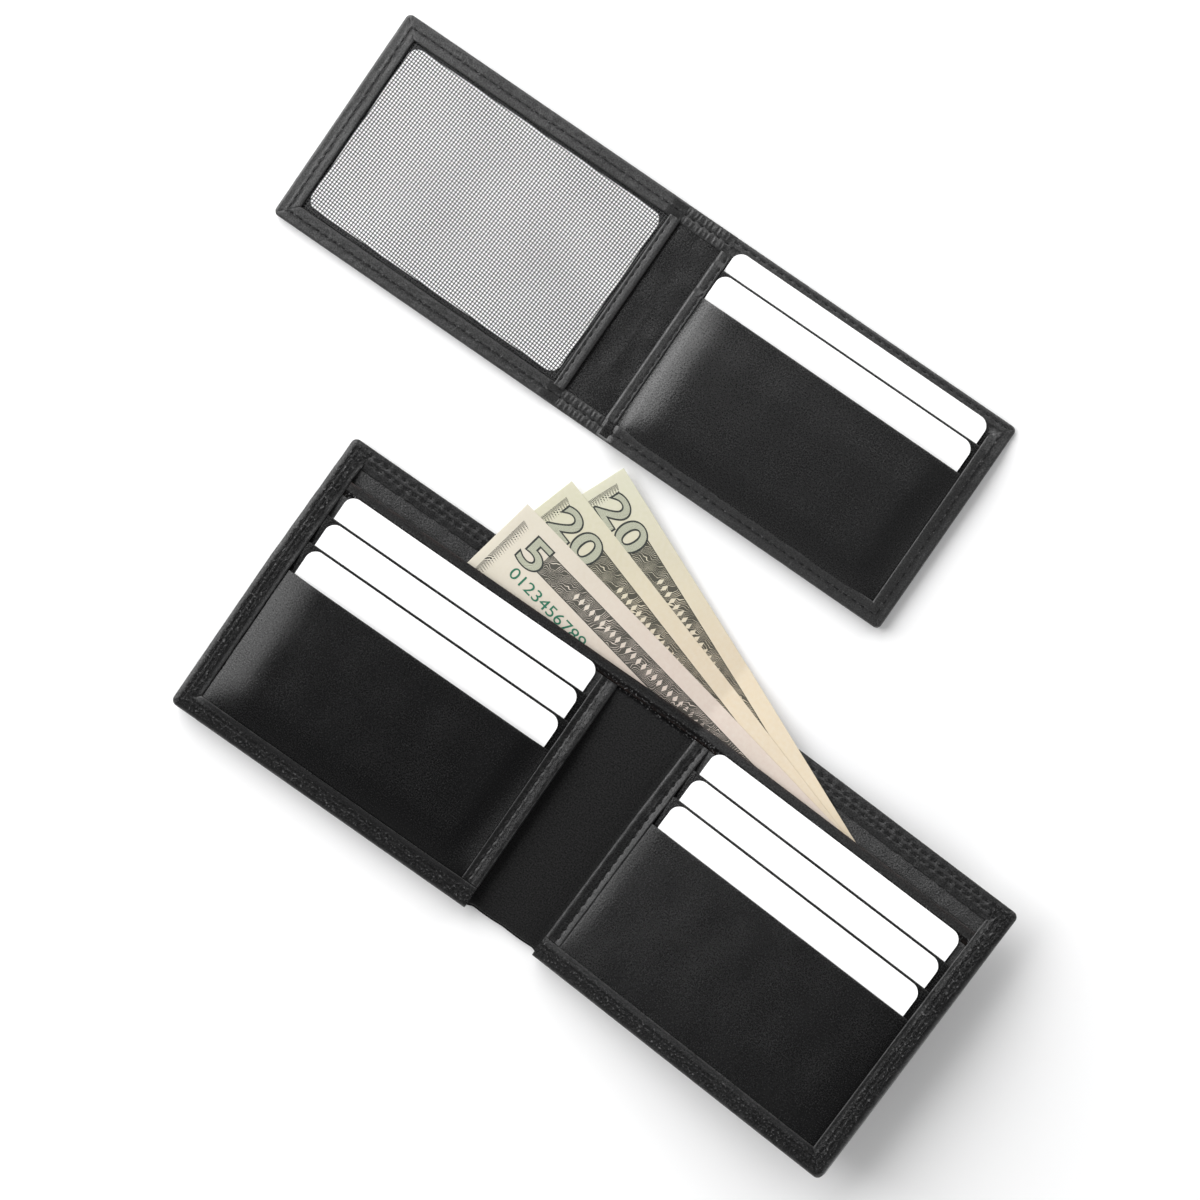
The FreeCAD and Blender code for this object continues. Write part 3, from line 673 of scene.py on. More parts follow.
def rolled_band(name, place, corners, inward, width, base, lip, height, material, seed, radius=CORNER,
                thick=EDGE_THICK, rows=(), reach=0.75, rubbed=1.0):
    """Leather rolled over an edge: a wall up from base, a rounded lip and a flap as wide as width, with
    rows as the insets of its stitches, reach as how far they crumple it and rubbed as how worn its
    inner edge is."""
    lengths = [math.hypot(b[0] - a[0], b[1] - a[1]) for a, b in zip(corners, corners[1:])]
    counts = [max(3, round(length / BAND_STEP)) for length in lengths]
    turn = np.linspace(0, math.pi / 2, 6)
    inner = min(0.8, 0.2 * width)
    wall = [(inner, "base", 0), (0.0, "base", 0), (0.0, "wall", 0.35), (0.0, "wall", 0.7)]
    lip_points = [(lip * (1 - math.cos(a)), "top", lip * (1 - math.sin(a))) for a in turn]
    flap = [(w, "top", 0) for w in np.arange(lip + BAND_COLUMN, width - 0.3, BAND_COLUMN)]
    edge = [(width - 0.22, "top", 0.02), (width - 0.06, "top", 0.12), (width, "top", 0.28)]
    back = [(width - 0.08, "top", thick - 0.04), (width - 0.4, "top", thick), (0.5 * width, "top", thick),
            (0.25 * width, "top", thick + 0.1), (inner, "top", thick + 0.5)]
    profile = wall + lip_points + flap + edge + back
    points, worn, cuts, sewn = [], [], [], []
    for inset, kind, amount in profile:
        line = route_points(corners, inward, inset, radius, counts)
        s, v = line[:, 0], line[:, 1]
        if inset < lip or kind != "top":
            level = route_points(corners, inward, lip, radius, counts)
            top = height(level[:, 0], level[:, 1])
        else:
            top = height(s, v)
        if kind == "base":
            z = base + 0 * s
        elif kind == "wall":
            z = base + amount * np.maximum(top - lip - base, 0.02)
        else:
            z = np.maximum(top - amount, base + 0.01)
        points.append(place(s, v, z))
        inner_wear = rubbed * math.exp(-(width - inset) / 0.3)
        worn.append(np.full(len(s), max(math.exp(-(abs(inset - 0.35) / 0.4) ** 2), inner_wear)))
        pull = max([math.exp(-((inset - row) / reach) ** 2) for row in rows] + [0])
        sewn.append(np.full(len(s), pull * (kind == "top")))
        cuts.append(np.stack([s + 17.3 * seed + (2.1 if amount > 0.5 else 0), v + 31.7 * seed + z], -1))
    stations, loop = len(points[0]), len(profile)
    points, worn, cuts, sewn = (np.concatenate(values) for values in (points, worn, cuts, sewn))
    index = np.arange(stations * loop).reshape(loop, stations)
    after = np.roll(index, -1, axis=0)
    faces = np.stack([index[:, :-1], index[:, 1:], after[:, 1:], after[:, :-1]], -1).reshape(-1, 4).tolist()
    faces += [index[:, 0].tolist(), index[:, -1].tolist()]
    return make_piece(name, points, faces, cuts, worn, material, sewn=sewn)


edge_leather = leather("edge_leather", (0.0032, 0.0032, 0.0034), (0.007, 0.007, 0.0072),
                       (0.07, 0.07, 0.07), 0.35, 0.07, 0.35, creasing=0.3, gloss=0.36)
for side, (place, body, bend) in WALLET.items():
    route = [(HALF_WIDTH - EDGE_BAND, HEIGHT), (HALF_WIDTH, HEIGHT), (HALF_WIDTH, 0), (EDGE_START, 0)]
    band = rolled_band(f"turned_edge_{side}", place, route, -1, EDGE_BAND, COVER_THICK, 1.15,
                       EDGE_TOPS[side], edge_leather, seed=30 + len(side), rows=(2.0, 3.1, 4.3),
                       reach=CRUMPLE_REACH[side])
    fasten(band, [f"turned_edge_{side}"], body)

# ================================ binding
# A strip of the same calf that wraps the panel's raw edge beside the fold, from the bottom band up
# to the divider's hem. One row of stitches holds it, and its rolled lip is rubbed to a shine.
BINDING_WIDTH = 5.3
BINDING_ROW = 3.5
BINDING_LOW = EDGE_BAND + 0.2
seam_s = EDGE_START + BINDING_ROW
binding_runs = [((seam_s, BACKING_TOP - 0.6), (seam_s, BINDING_LOW + 0.4))]


def binding_height(s, v):
    z = Z_SLOTS + 3 * SLOT_STEP - stack_drop(v) * (v < 77) - COVER_THICK
    stack = COVER_THICK + z - 0.05 * fade(6.4 - s, 0, 2.8) * z
    uneven = 0.025 * ripple(s, v, 3.2, 8) + 0.06 * ripple(s, v, 12, 9)
    sewn = seam_dip(s, v, binding_runs, 0.36, 0.36)
    return stack + EDGE_THICK - 0.1 + 0.22 * fade(3.2 - s, 0, 1.9) + uneven - sewn


for side, (place, body, bend) in WALLET.items():
    strip = rolled_band(f"binding_{side}", place, [(EDGE_START, BACKING_TOP), (EDGE_START, BINDING_LOW)], 1,
                        BINDING_WIDTH, 2.78, 0.6, binding_height, edge_leather, seed=40 + len(side))
    fasten(strip, [f"binding_{side}"], body)

# ================================ stitching
# Black bonded polyester thread, 0.44 mm, in lockstitch at 3 mm: each stitch is a short
# twisted bar that dives into its holes at both ends.
THREAD = 0.44
thread_black, tree, shader = new_material("thread_black")
laid = cut_place(tree)
twist = add(tree, "ShaderNodeTexWave", {"Vector": laid, "Scale": 900.0, "Distortion": 1.5, "Detail": 2.0},
            bands_direction="DIAGONAL")[1]
plug(shader, {
    "Base Color": mix_colour(twist, (0.002, 0.002, 0.0022), (0.006, 0.006, 0.0063)),
    "Roughness": spread(noise(laid, 4000.0, 3.0), 0.3, 0.7, 0.45, 0.6),
    "Specular IOR Level": 0.2,
    "Normal": bumped(twist, 0.00006),
})


def stitch_row(run, top, dice, skip):
    """The bars of one sewn run, as points and faces; skip leaves out stitches whose middle it refuses."""
    (s0, v0), (s1, v1) = run
    length = math.hypot(s1 - s0, v1 - v0)
    count = round(length / STITCH)
    way, across = ((s1 - s0) / length, (v1 - v0) / length), (-(v1 - v0) / length, (s1 - s0) / length)
    along = np.array([-0.98, -0.86, -0.5, 0, 0.5, 0.86, 0.98])
    size = np.array([0.3, 0.7, 0.97, 1.0, 0.97, 0.7, 0.3])
    dive = -0.42 * np.abs(along) ** 3
    spin = np.linspace(0, 2 * math.pi, 9)[:-1]
    bars = []
    for k in range(count):
        middle = (k + 0.5) / count * length
        centre = (s0 + way[0] * middle, v0 + way[1] * middle)
        if skip and skip(*centre):
            continue
        half = 0.5 * length / count * dice.uniform(0.6, 0.68)
        slant = dice.normal(0, 0.1)
        reach = (along * half)[:, None]
        aside = slant * reach + THREAD / 2 * size[:, None] * np.cos(spin)
        s = centre[0] + way[0] * reach + across[0] * aside
        v = centre[1] + way[1] * reach + across[1] * aside
        level = float(top(np.array([centre[0]]), np.array([centre[1]]))[0])
        z = level + 0.08 + dive[:, None] + THREAD / 2 * size[:, None] * np.sin(spin)
        bars.append((s, v, z))
    return bars


def sew(name, place, rows, seed):
    """One piece of stitching from its rows of (run, height of the leather, what to skip)."""
    dice = np.random.default_rng(seed)
    bars = [bar for run, top, skip in rows for bar in stitch_row(run, top, dice, skip)]
    points, faces, cuts, first = [], [], [], 0
    for s, v, z in bars:
        rings, around = s.shape
        points.append(place(s, v, z).reshape(-1, 3))
        turn = np.tile(np.arange(around) * 0.2, (rings, 1))
        cuts.append(np.stack([s + v, turn + 3 * len(points)], -1).reshape(-1, 2))
        index = first + np.arange(rings * around).reshape(rings, around)
        after = np.roll(index, -1, axis=1)
        faces += np.stack([index[:-1], index[1:], after[1:], after[:-1]], -1).reshape(-1, 4).tolist()
        faces += [index[0].tolist(), index[-1].tolist()]
        first += rings * around
    points, cuts = np.concatenate(points), np.concatenate(cuts)
    return make_piece(name, points, faces, cuts, np.zeros(len(points)), thread_black, sharp=1.2)


def top_of(under, thick):
    """The upper face of a sheet from its lower one."""
    return lambda s, v: under(s, v) + thick


on_hem = top_of(hem_under, HEM_THICK)
on_wall = top_of(wall_hem_under, HEM_THICK)
NEAR_FOLD = 4.0
for side, (place, body, bend) in WALLET.items():
    rows = [(run, EDGE_TOPS[side], None) for run in edge_runs[:4]]
    rows += [(run, on_wall, lambda s, v: s < NEAR_FOLD) for run in wall_rows]
    rows += [(run, on_hem, lambda s, v: s < NEAR_FOLD) for run in hem_row]
    rows += [(run, binding_height, None) for run in binding_runs]
    seams = sew(f"stitching_{side}", place, rows, 50 + len(side))
    fasten(seams, [f"stitching_{side}"], body)
    rows = [(run, on_wall, lambda s, v: s >= NEAR_FOLD) for run in wall_rows]
    rows += [(run, on_hem, lambda s, v: s >= NEAR_FOLD) for run in hem_row]
    seams = sew(f"stitching_fold_{side}", place, rows, 60 + len(side))
    fasten(seams, ["stitching_spine"], bend)

# ================================ bank notes
# Three plain notes of cotton paper, 156 by 66 mm, fanned in the bill compartment so that their left
# ends stand out of it. They are printed with a generic engraved band, border, rosette and numerals.
NOTE_LENGTH = 156.0
NOTE_WIDTH = 66.0
NOTE_THICK = 0.12
NOTE_CURL = 0.0005
NOTES = {
    "back": ((67.9, 126.9), -23.4, 1.32, "20", (0.54, 0.55, 0.40), (0.60, 0.49, 0.33)),
    "middle": ((57.9, 115.6), -17.4, 1.52, "20", (0.53, 0.53, 0.37), (0.58, 0.47, 0.32)),
    "front": ((51.3, 103.2), -11.4, 1.72, "5", (0.59, 0.55, 0.45), (0.53, 0.43, 0.38)),
}
INK = (0.013, 0.015, 0.012)
GREEN_INK = (0.012, 0.125, 0.07)
STAIN = (0.36, 0.3, 0.22)
FIBRE = (0.6, 0.57, 0.51)
BAND_END = 138.0
BAND_LOW, BAND_HIGH = 4.9, 11.5
LOZENGE = 2.1
ROSETTE_PLACE = (0.078, -0.033, 0)
ROSETTE_RADIUS = 0.026

# Engraving: fine curved lines whose weight follows Darkness, as a mask for the ink.
engraving_group, taken = new_group("engraving", {"Line Spacing": 0.3, "Darkness": 0.5})
laid = cut_place(engraving_group)
along, up, _ = add(engraving_group, "ShaderNodeSeparateXYZ", {0: laid})
lines_per_metre = taken["Line Spacing"].maths("DIVIDE", 1000.0, swapped=True)
wavy = (along - up) * lines_per_metre + noise(laid, 330.0, 0.0) * 7.0
give(engraving_group, {"Ink": wavy.maths("FRACT") < taken["Darkness"]})


def engraved(tree, spacing, darkness):
    """The ink of lines this many mm apart; darkness is a number or a value."""
    inputs = {"Line Spacing": spacing, "Darkness": darkness}
    return add(tree, "ShaderNodeGroup", inputs, node_tree=engraving_group)[0]


def between(value, low, high):
    return (value > low) * (value < high)


def note_paper(name, left_tone, right_tone, band_start):
    """Cotton paper printed with the band along its top, the border comb at its end and the rosette."""
    material, tree, shader = new_material(name)
    laid = cut_place(tree)
    along, up, _ = add(tree, "ShaderNodeSeparateXYZ", {0: laid})
    along = along * 1000.0
    down = up * -1000.0
    fibres = noise(laid, 800.0, 5.0)
    paper = mix_colour(spread(along, 5.0, 60.0, 0.0, 1.0), left_tone, right_tone)
    paper = mix_colour(noise(laid, 60.0, 3.0) * 0.35, paper, STAIN)
    paper = mix_colour(fibres * 0.6, paper, FIBRE)

    shade = spread(noise(laid, 190.0, 3.0), 0.3, 0.7, 0.74, 0.97)
    band = between(along, band_start, BAND_END) * between(down, BAND_LOW, BAND_HIGH)
    lozenge = (along.maths("DIVIDE", LOZENGE).maths("FRACT") - 0.5).maths("ABSOLUTE")
    from_middle = (down - 8.2).maths("ABSOLUTE")
    ribbon = (lozenge * LOZENGE + from_middle * 0.5) < 0.66
    ribbon = ribbon * between(along, band_start + 12.0, 130.0)
    rules = between(down, BAND_LOW, 5.15) + between(down, 11.2, BAND_HIGH)
    ink = band * (engraved(tree, 0.72, shade) * (1.0 - ribbon)).maths("MAXIMUM", rules)

    tooth = (down * 1.25).maths("FRACT")
    comb = between(down, 4.0, 62.0) * between(along, 2.6, tooth * 2.4 + 3.2)
    ink = ink.maths("MAXIMUM", comb * engraved(tree, 0.5, 0.6))

    from_centre = add(tree, "ShaderNodeVectorMath", {0: laid, 1: ROSETTE_PLACE}, operation="DISTANCE")[1]
    rings = spread((from_centre * 900.0).maths("SINE"), -1.0, 1.0, 0.5, 0.9)
    rosette = (from_centre < ROSETTE_RADIUS) * engraved(tree, 0.75, rings)
    ink = ink.maths("MAXIMUM", rosette)
    plug(shader, {
        "Base Color": mix_colour(ink * 0.9, paper, INK),
        "Roughness": spread(fibres, 0.3, 0.7, 0.72, 0.86),
        "Specular IOR Level": 0.3,
        "Normal": bumped(fibres + ink * 0.6, 0.00002),
    })
    return material


def printed_ink(name, colour, hatch):
    """Ink that stands a little on the paper, with engraved hatching through it."""
    material, tree, shader = new_material(name)
    plug(shader, {
        "Base Color": mix_colour(engraved(tree, 0.34, hatch) * 0.75, colour, INK),
        "Roughness": spread(noise(cut_place(tree), 900.0), 0.3, 0.7, 0.6, 0.8),
    })
    return material


ink_dark = printed_ink("ink_dark", (0.03, 0.034, 0.03), 0.5)
ink_pale = printed_ink("ink_pale", (0.42, 0.43, 0.33), 0.25)
ink_green = printed_ink("ink_green", GREEN_INK, 0.0)


def note_place(corner, turn, level):
    """Where a point of a note lies: a along its top edge, b down from it as a negative number."""
    angle = math.radians(turn)

    def place(a, b, z):
        x = left_foot.x - HALF_WIDTH + corner[0] + a * math.cos(angle) - b * math.sin(angle)
        y = bottom + corner[1] + a * math.sin(angle) + b * math.cos(angle)
        up_left = y - bottom
        up_right = (x - right_foot.x) * right_along.x + (y - right_foot.y) * right_along.y
        v = np.where(out_of_crease(x, y) > 0, up_right, up_left)
        outside = np.maximum(v - 86, 0)
        rise = 0.5 * fade(v, 78.8, 84.5) + NOTE_CURL * outside ** 2
        wave = 0.3 * fade(outside, 0, 30) * np.sin(a / 17 + level)
        return stand_up(x, y, z + level + rise + wave)
    return place


def trim_note(piece, keep_left):
    """Cuts a note at the middle of the fold and closes the cut."""
    shell = bmesh.new()
    shell.from_mesh(piece.data)
    parts = list(shell.verts) + list(shell.edges) + list(shell.faces)
    cut = Vector((left_foot.x + FOLD_CUT, 0, 0)) * MM
    bmesh.ops.bisect_plane(shell, geom=parts, plane_co=cut, plane_no=(1, 0, 0), clear_outer=keep_left,
                           clear_inner=not keep_left)
    bmesh.ops.holes_fill(shell, edges=[edge for edge in shell.edges if edge.is_boundary], sides=0)
    shell.to_mesh(piece.data)
    shell.free()
    piece.data.set_sharp_from_angle(angle=0.9)


def numerals(name, text, place, a, b, tall, wide, lift, material, weight):
    """Plain numerals printed on a note, with their left end at a and their foot at b."""
    font = bpy.data.curves.new(name, "FONT")
    font.body, font.offset = text, weight
    shape = bpy.data.objects.new(name, font)
    bpy.context.scene.collection.objects.link(shape)
    mesh = bpy.data.meshes.new_from_object(shape.evaluated_get(bpy.context.evaluated_depsgraph_get()))
    bpy.data.objects.remove(shape)
    shell = bmesh.new()
    shell.from_mesh(mesh)
    bmesh.ops.subdivide_edges(shell, edges=shell.edges[:], cuts=3, use_grid_fill=True)
    shell.to_mesh(mesh)
    shell.free()
    flat = np.array([vertex.co for vertex in mesh.vertices])
    flat = np.stack([a + flat[:, 0] * wide, b + flat[:, 1] * tall], -1)
    faces = [list(polygon.vertices) for polygon in mesh.polygons]
    points = place(flat[:, 0], flat[:, 1], np.full(len(flat), NOTE_THICK + lift))
    return make_piece(name, points, faces, flat, np.zeros(len(flat)), material)


for note, (corner, turn, level, value, left_tone, right_tone) in NOTES.items():
    place = note_place(corner, turn, level)
    paper = note_paper(f"note_paper_{note}", left_tone, right_tone, 14.8 if value == "5" else 20.0)
    for side, (_, _, bend) in WALLET.items():
        sheet = cut_sheet(f"note_{note}_{side}", place, (0, NOTE_LENGTH), (-NOTE_WIDTH, 0), 0.0, NOTE_THICK,
                          paper, step=1.6, fine_s=[(28, 112, 0.55)])
        trim_note(sheet, side == "left")
        fasten(sheet, [f"notes_{side}", "notes_spine"], bend)
    start, wide = (7.5, 17.5) if value == "5" else (4.8, 17.0)
    prints = [
        ("value_outline", value, start, -12.7, 12.2, wide, 0.03, ink_dark, 0.045),
        ("value", value, start, -12.7, 12.2, wide, 0.06, ink_pale, 0.012),
        ("digits", "0123456789", 10.2, -17.8, 4.8, 5.9, 0.04, ink_green, 0.0),
    ]
    for label, digits, *shape in prints if value == "5" else prints[:2]:
        item = numerals(f"note_{note}_{label}", digits, place, *shape)
        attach(item, "left_half")

# ================================ pass case cover
# A smaller folded case of softer, slightly shinier calf that lies above the wallet, taken out of it.
# Its cover is one piece, and the fold has its own thin lining.
PASS_HALF = 97.0
PASS_HEIGHT = 68.18
PASS_CUT = 6.7
PASS_ZONE = 2.0
PASS_LEVEL = 1.8
PASS_THICK = 0.45
pass_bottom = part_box("pass_cover_left")[0].y / MM
pass_left = hinges["pass_crease_left"]["pos_m"][0] / MM
pass_right = hinges["pass_crease_right"]["pos_m"][0] / MM
pass_leather = leather("pass_leather", (0.007, 0.007, 0.0072), (0.0125, 0.0125, 0.0127),
                       (0.07, 0.07, 0.07), 0.27, 0.06, 0.3, creasing=0.08, gloss=0.5)
pass_edge_leather = leather("pass_edge_leather", (0.012, 0.012, 0.0122), (0.022, 0.022, 0.0223),
                            (0.06, 0.06, 0.06), 0.38, 0.07, 0.3, creasing=0.2, gloss=0.5)


def window_place(s, v, z):
    """A point of the window half, or of the fold beside it where s is negative."""
    return np.stack([pass_left - s, pass_bottom + v, z + 0 * s], -1)


def slots_place(s, v, z):
    """A point of the card half, or of the fold beside it where s is negative."""
    return np.stack([pass_right + s, pass_bottom + v, z + 0 * s], -1)


PASS = {"left": (window_place, "pass_window_half"), "right": (slots_place, "pass_slot_half")}
for side, (place, body) in PASS.items():
    PASS[side] += ((body, "pass_spine", *fold_ends(place, PASS_ZONE, PASS_HEIGHT / 2, PASS_LEVEL)),)
PASS_CORNERS = [(PASS_HALF, 0), (PASS_HALF, PASS_HEIGHT)]
PASS_CORNER = 1.6
PASS_END = PASS_HALF - 0.8
PASS_INSIDE = (0.8, PASS_HEIGHT - 0.8)
pass_cover_leather = leather("pass_cover_leather", (0.007, 0.007, 0.0072), (0.0125, 0.0125, 0.0127),
                             (0.04, 0.04, 0.04), 0.56, 0.12, 0.3, creasing=0.06, gloss=0.25)
for side, (place, body, bend) in PASS.items():
    cover = cut_sheet(f"pass_cover_{side}", place, (-PASS_CUT, PASS_HALF), (0, PASS_HEIGHT), 0.0,
                      COVER_THICK, pass_cover_leather, rims="fuuu", rounded=PASS_CORNERS,
                      radius=PASS_CORNER, fine_s=[(-4, 3, 0.5)], seed=70 + len(side))
    fasten(cover, [f"pass_cover_{side}", "pass_cover_spine"], bend)
    lining = cut_sheet(f"pass_lining_{side}", place, (-PASS_CUT, 3.0), PASS_INSIDE,
                       lambda s, v: COVER_THICK + 0.05 + 0.08 * ripple(s, v, 14, 31), LINING_THICK,
                       pass_leather, step=0.8, rims="fooo", seed=73 + len(side))
    fasten(lining, ["pass_lining_spine"], bend)
    backing_top = PASS_HEIGHT - (0.8 if side == "left" else 5.8)
    backing = cut_sheet(f"pass_backing_{side}", place, (1.0, PASS_END), (0.8, backing_top), 1.15, 0.3,
                        pass_leather, seed=76 + len(side))
    fasten(backing, [f"pass_backing_{side}"], body)

# ================================ mesh window
# Fine black polyester mesh, woven at 0.9 mm, stretched over the identity card and sewn in under the
# turned edge. Its free edge beside the fold has a narrow leather hem with one row of stitches.
MESH_PITCH = 0.9
MESH_THREAD = 0.205
ID_CARD = (5.0, 90.6, 7.4, 61.38)
window_mesh, tree, shader = new_material("window_mesh")
laid = cut_place(tree)
turned = add(tree, "ShaderNodeVectorRotate", {"Vector": laid, "Angle": -0.05}, rotation_type="Z_AXIS")[0]
wander = noise(laid, 150.0) * 0.06
cells = [way * (1000.0 / MESH_PITCH) + wander for way in add(tree, "ShaderNodeSeparateXYZ", {0: turned})[:2]]
off_warp, off_weft = [(cell.maths("FRACT") - 0.5).maths("ABSOLUTE") for cell in cells]
nearest = off_warp.maths("MINIMUM", off_weft)
crossing = off_warp.maths("MAXIMUM", off_weft) < 0.16
half_thread = MESH_THREAD / MESH_PITCH / 2
plug(shader, {
    "Alpha": spread(nearest, half_thread - 0.08, half_thread + 0.08, 1.0, 0.0),
    "Base Color": mix_colour(crossing, (0.03, 0.03, 0.031), (0.012, 0.012, 0.012)),
    "Normal": bumped(0.1 - nearest, 0.0002),
    "Roughness": spread(wander, 0.03, 0.07, 0.45, 0.6),
})


def mesh_under(s, v):
    """The mesh lies on the card and sinks beyond its edges, but not at the fold, where the card goes in."""
    s0, s1, v0, v1 = ID_CARD
    beyond = np.maximum.reduce([s - s1, v0 - v, v - v1, 0 * s])
    return 2.36 - 0.75 * fade(beyond, 0.2, 3.4) + 0.02 * ripple(s, v, 25, 41)


mesh_sheet = cut_sheet("pass_window_mesh", window_place, (0.7, PASS_END), PASS_INSIDE, mesh_under, 0.06,
                       window_mesh, step=1.0)
fasten(mesh_sheet, ["pass_window_mesh"], "pass_window_half")


mesh_hem_run = [((EDGE_START + 2.4, 62.0), (EDGE_START + 2.4, 6.2))]


def mesh_hem_height(s, v):
    sewn = seam_dip(s, v, mesh_hem_run, 0.18, 0.28)
    return 2.95 + 0.1 * np.exp(-((s - 1.3) / 0.7) ** 2) + 0.02 * ripple(s, v, 4, 42) - sewn


mesh_hem = rolled_band("pass_mesh_hem", window_place, [(EDGE_START, 63.0), (EDGE_START, 5.2)], 1, 3.4, 2.34,
                       0.55, mesh_hem_height, pass_edge_leather, thick=0.4, seed=80, rubbed=0.2)
fasten(mesh_hem, ["pass_mesh_hem"], "pass_window_half")

# ================================ pass case card slots
# Two stepped pockets of the same calf. The front one is pulled tight over its cards.
# A narrow binding wraps their edge beside the fold.
PASS_TOPS = {"rear": 58.28, "front": 48.68}
PASS_SWELL = 2.4


def pass_pocket_under(level):
    z = 2.41 + SLOT_STEP * level

    def under(s, v):
        pressed_here = np.maximum(fade(s, 90.0, 94.5), fade(4.6 - v, 0.9, 3.0))
        low = z - 0.16 * (z - 0.9) * pressed_here
        lip = 0.6 + 0.4 * fade(PASS_TOPS["front"] - v, 0, 14)
        sides = dome(s - 3.4, 12) * fade(s, 3.4, 7.2) * dome(91.6 - s, 11)
        swelling = PASS_SWELL * sides * dome(v - 4, 11) * lip + 0.03 * ripple(s, v, 20, 51)
        return low + (swelling if level else 0)
    return under


for level, (row, top) in enumerate(PASS_TOPS.items()):
    pocket = cut_sheet(f"pass_pocket_{row}", slots_place, (PANEL_START, PASS_END), (0.8, top),
                       pass_pocket_under(level), POCKET_THICK, pass_leather,
                       fine_s=[(PANEL_START, 12, 0.5), (84, 96, 0.6)], fine_v=[(0.8, 8, 0.6)],
                       seed=82 + level)
    fasten(pocket, [f"pass_pocket_{row}"], "pass_slot_half")

pass_binding_run = [((EDGE_START + 2.7, 62.0), (EDGE_START + 2.7, 6.4))]


def pass_binding_height(s, v):
    drop = 1.2 * fade(v, 48.4, 50.4) + 1.2 * fade(v, 58.0, 60.0)
    sewn = seam_dip(s, v, pass_binding_run, 0.2, 0.28)
    return 4.37 - drop + 0.45 + 0.03 * ripple(s, v, 4, 52) - sewn


pass_binding = rolled_band("pass_binding", slots_place, [(EDGE_START, 62.6), (EDGE_START, 5.6)], 1, 3.5, 1.2,
                           0.75, pass_binding_height, pass_edge_leather, thick=0.4, seed=85, rubbed=0.0)
fasten(pass_binding, ["pass_binding_right"], "pass_slot_half")

# ================================ pass case edge
# The cover's edge turned in all round with one row of stitches, mitred at the outer corners and
# gathered in small folds where it crosses the case's own fold.
PASS_BAND = 5.8
PASS_ROW = 3.0
row_top, row_out = PASS_HEIGHT - PASS_ROW, PASS_HALF - PASS_ROW
fold_rows = [((-PASS_CUT, row_top), (1.8, row_top)), ((1.8, PASS_ROW), (-PASS_CUT, PASS_ROW))]
low_run = ((row_out, PASS_ROW), (-PASS_CUT, PASS_ROW))
# Beside the slots the upper row lies nearer the edge, clear of the cards.
pass_runs = {
    "left": [((-PASS_CUT, row_top), (row_out, row_top)), ((row_out, row_top), (row_out, PASS_ROW)), low_run],
    "right": [((1.4, PASS_HEIGHT - 1.5), (PASS_HALF - 1.5, PASS_HEIGHT - 1.5)),
              ((row_out, 64.0), (row_out, PASS_ROW)), low_run],
}


def pass_edge_height(full, side):
    """The turned edge's top where full is the layers' height under its inner side."""
    def height(s, v):
        nearest = np.minimum.reduce([PASS_HALF - s, v, PASS_HEIGHT - v])
        stack = full - 0.16 * (full - 0.9) * (1 - fade(nearest, 2.2, 5.0))
        if side == "right":
            share = np.interp(v, (45, 48.5, PASS_TOPS["rear"], 65, 67), (1, 0.99, 0.62, 0.04, 0))
            share = np.where(v > PASS_HEIGHT - PASS_BAND - 0.01, share * fade(s, 90.8, 93.5), share)
            stack = 0.9 + (stack - 0.9) * share
        stack = 1.25 + (stack - 1.25) * np.maximum(fade(s, 0.2, 5.5), stack < 1.25)
        across = PASS_HALF - s
        corner = np.minimum(np.abs(across - v), np.abs(across - (PASS_HEIGHT - v)))
        mitre = 0.08 * np.exp(-((corner + 0 * s) / 0.22) ** 2) * (across < PASS_BAND + 0.2)
        uneven = (0.03 * ripple(s, v, 3.0, 61) + 0.04 * ripple(s, v, 12, 62)) * fade(stack, 0.9, 1.6)
        return stack + EDGE_THICK - mitre + uneven - seam_dip(s, v, pass_runs[side], 0.26, 0.3)
    return height


def gathers(s, v):
    """The small folds across the edge where it goes round the fold."""
    near = fade(-s, -1.5, 0.5)
    inset = np.minimum(v, PASS_HEIGHT - v)
    folds = np.sin(s * 3.9 + 0.7 * np.sin(v * 0.6 + s)) + 0.5 * np.sin(s * 6.3 + v * 0.3)
    pads = (0.055 * folds + 0.25) * np.abs(np.sin(math.pi * inset / 2.95))
    return 1.08 + near * pads + 0.05 * ripple(s, v, 5, 63) - seam_dip(s, v, fold_rows, 0.2, 0.25)


PASS_EDGE_HEIGHTS = {"left": pass_edge_height(2.55, "left"), "right": pass_edge_height(4.3, "right")}
for side, (place, body, bend) in PASS.items():
    route = [(EDGE_START, PASS_HEIGHT), *PASS_CORNERS[::-1], (EDGE_START, 0)]
    band = rolled_band(f"pass_edge_{side}", place, route, -1, PASS_BAND, COVER_THICK, 0.7,
                       PASS_EDGE_HEIGHTS[side], pass_edge_leather, radius=PASS_CORNER, seed=90 + len(side),
                       rows=(PASS_ROW,), reach=0.45, rubbed=0.0)
    fasten(band, [f"pass_edge_{side}"], body)
    for name, low in (("bottom", 0.0), ("top", PASS_HEIGHT - PASS_BAND)):
        across_fold = cut_sheet(f"pass_edge_fold_{name}_{side}", place, (-PASS_CUT, 2.2),
                                (low, low + PASS_BAND), gathers, PASS_THICK, pass_edge_leather, step=0.22,
                                rims="fooo", seed=93 + len(side))
        fasten(across_fold, ["pass_edge_spine"], bend)


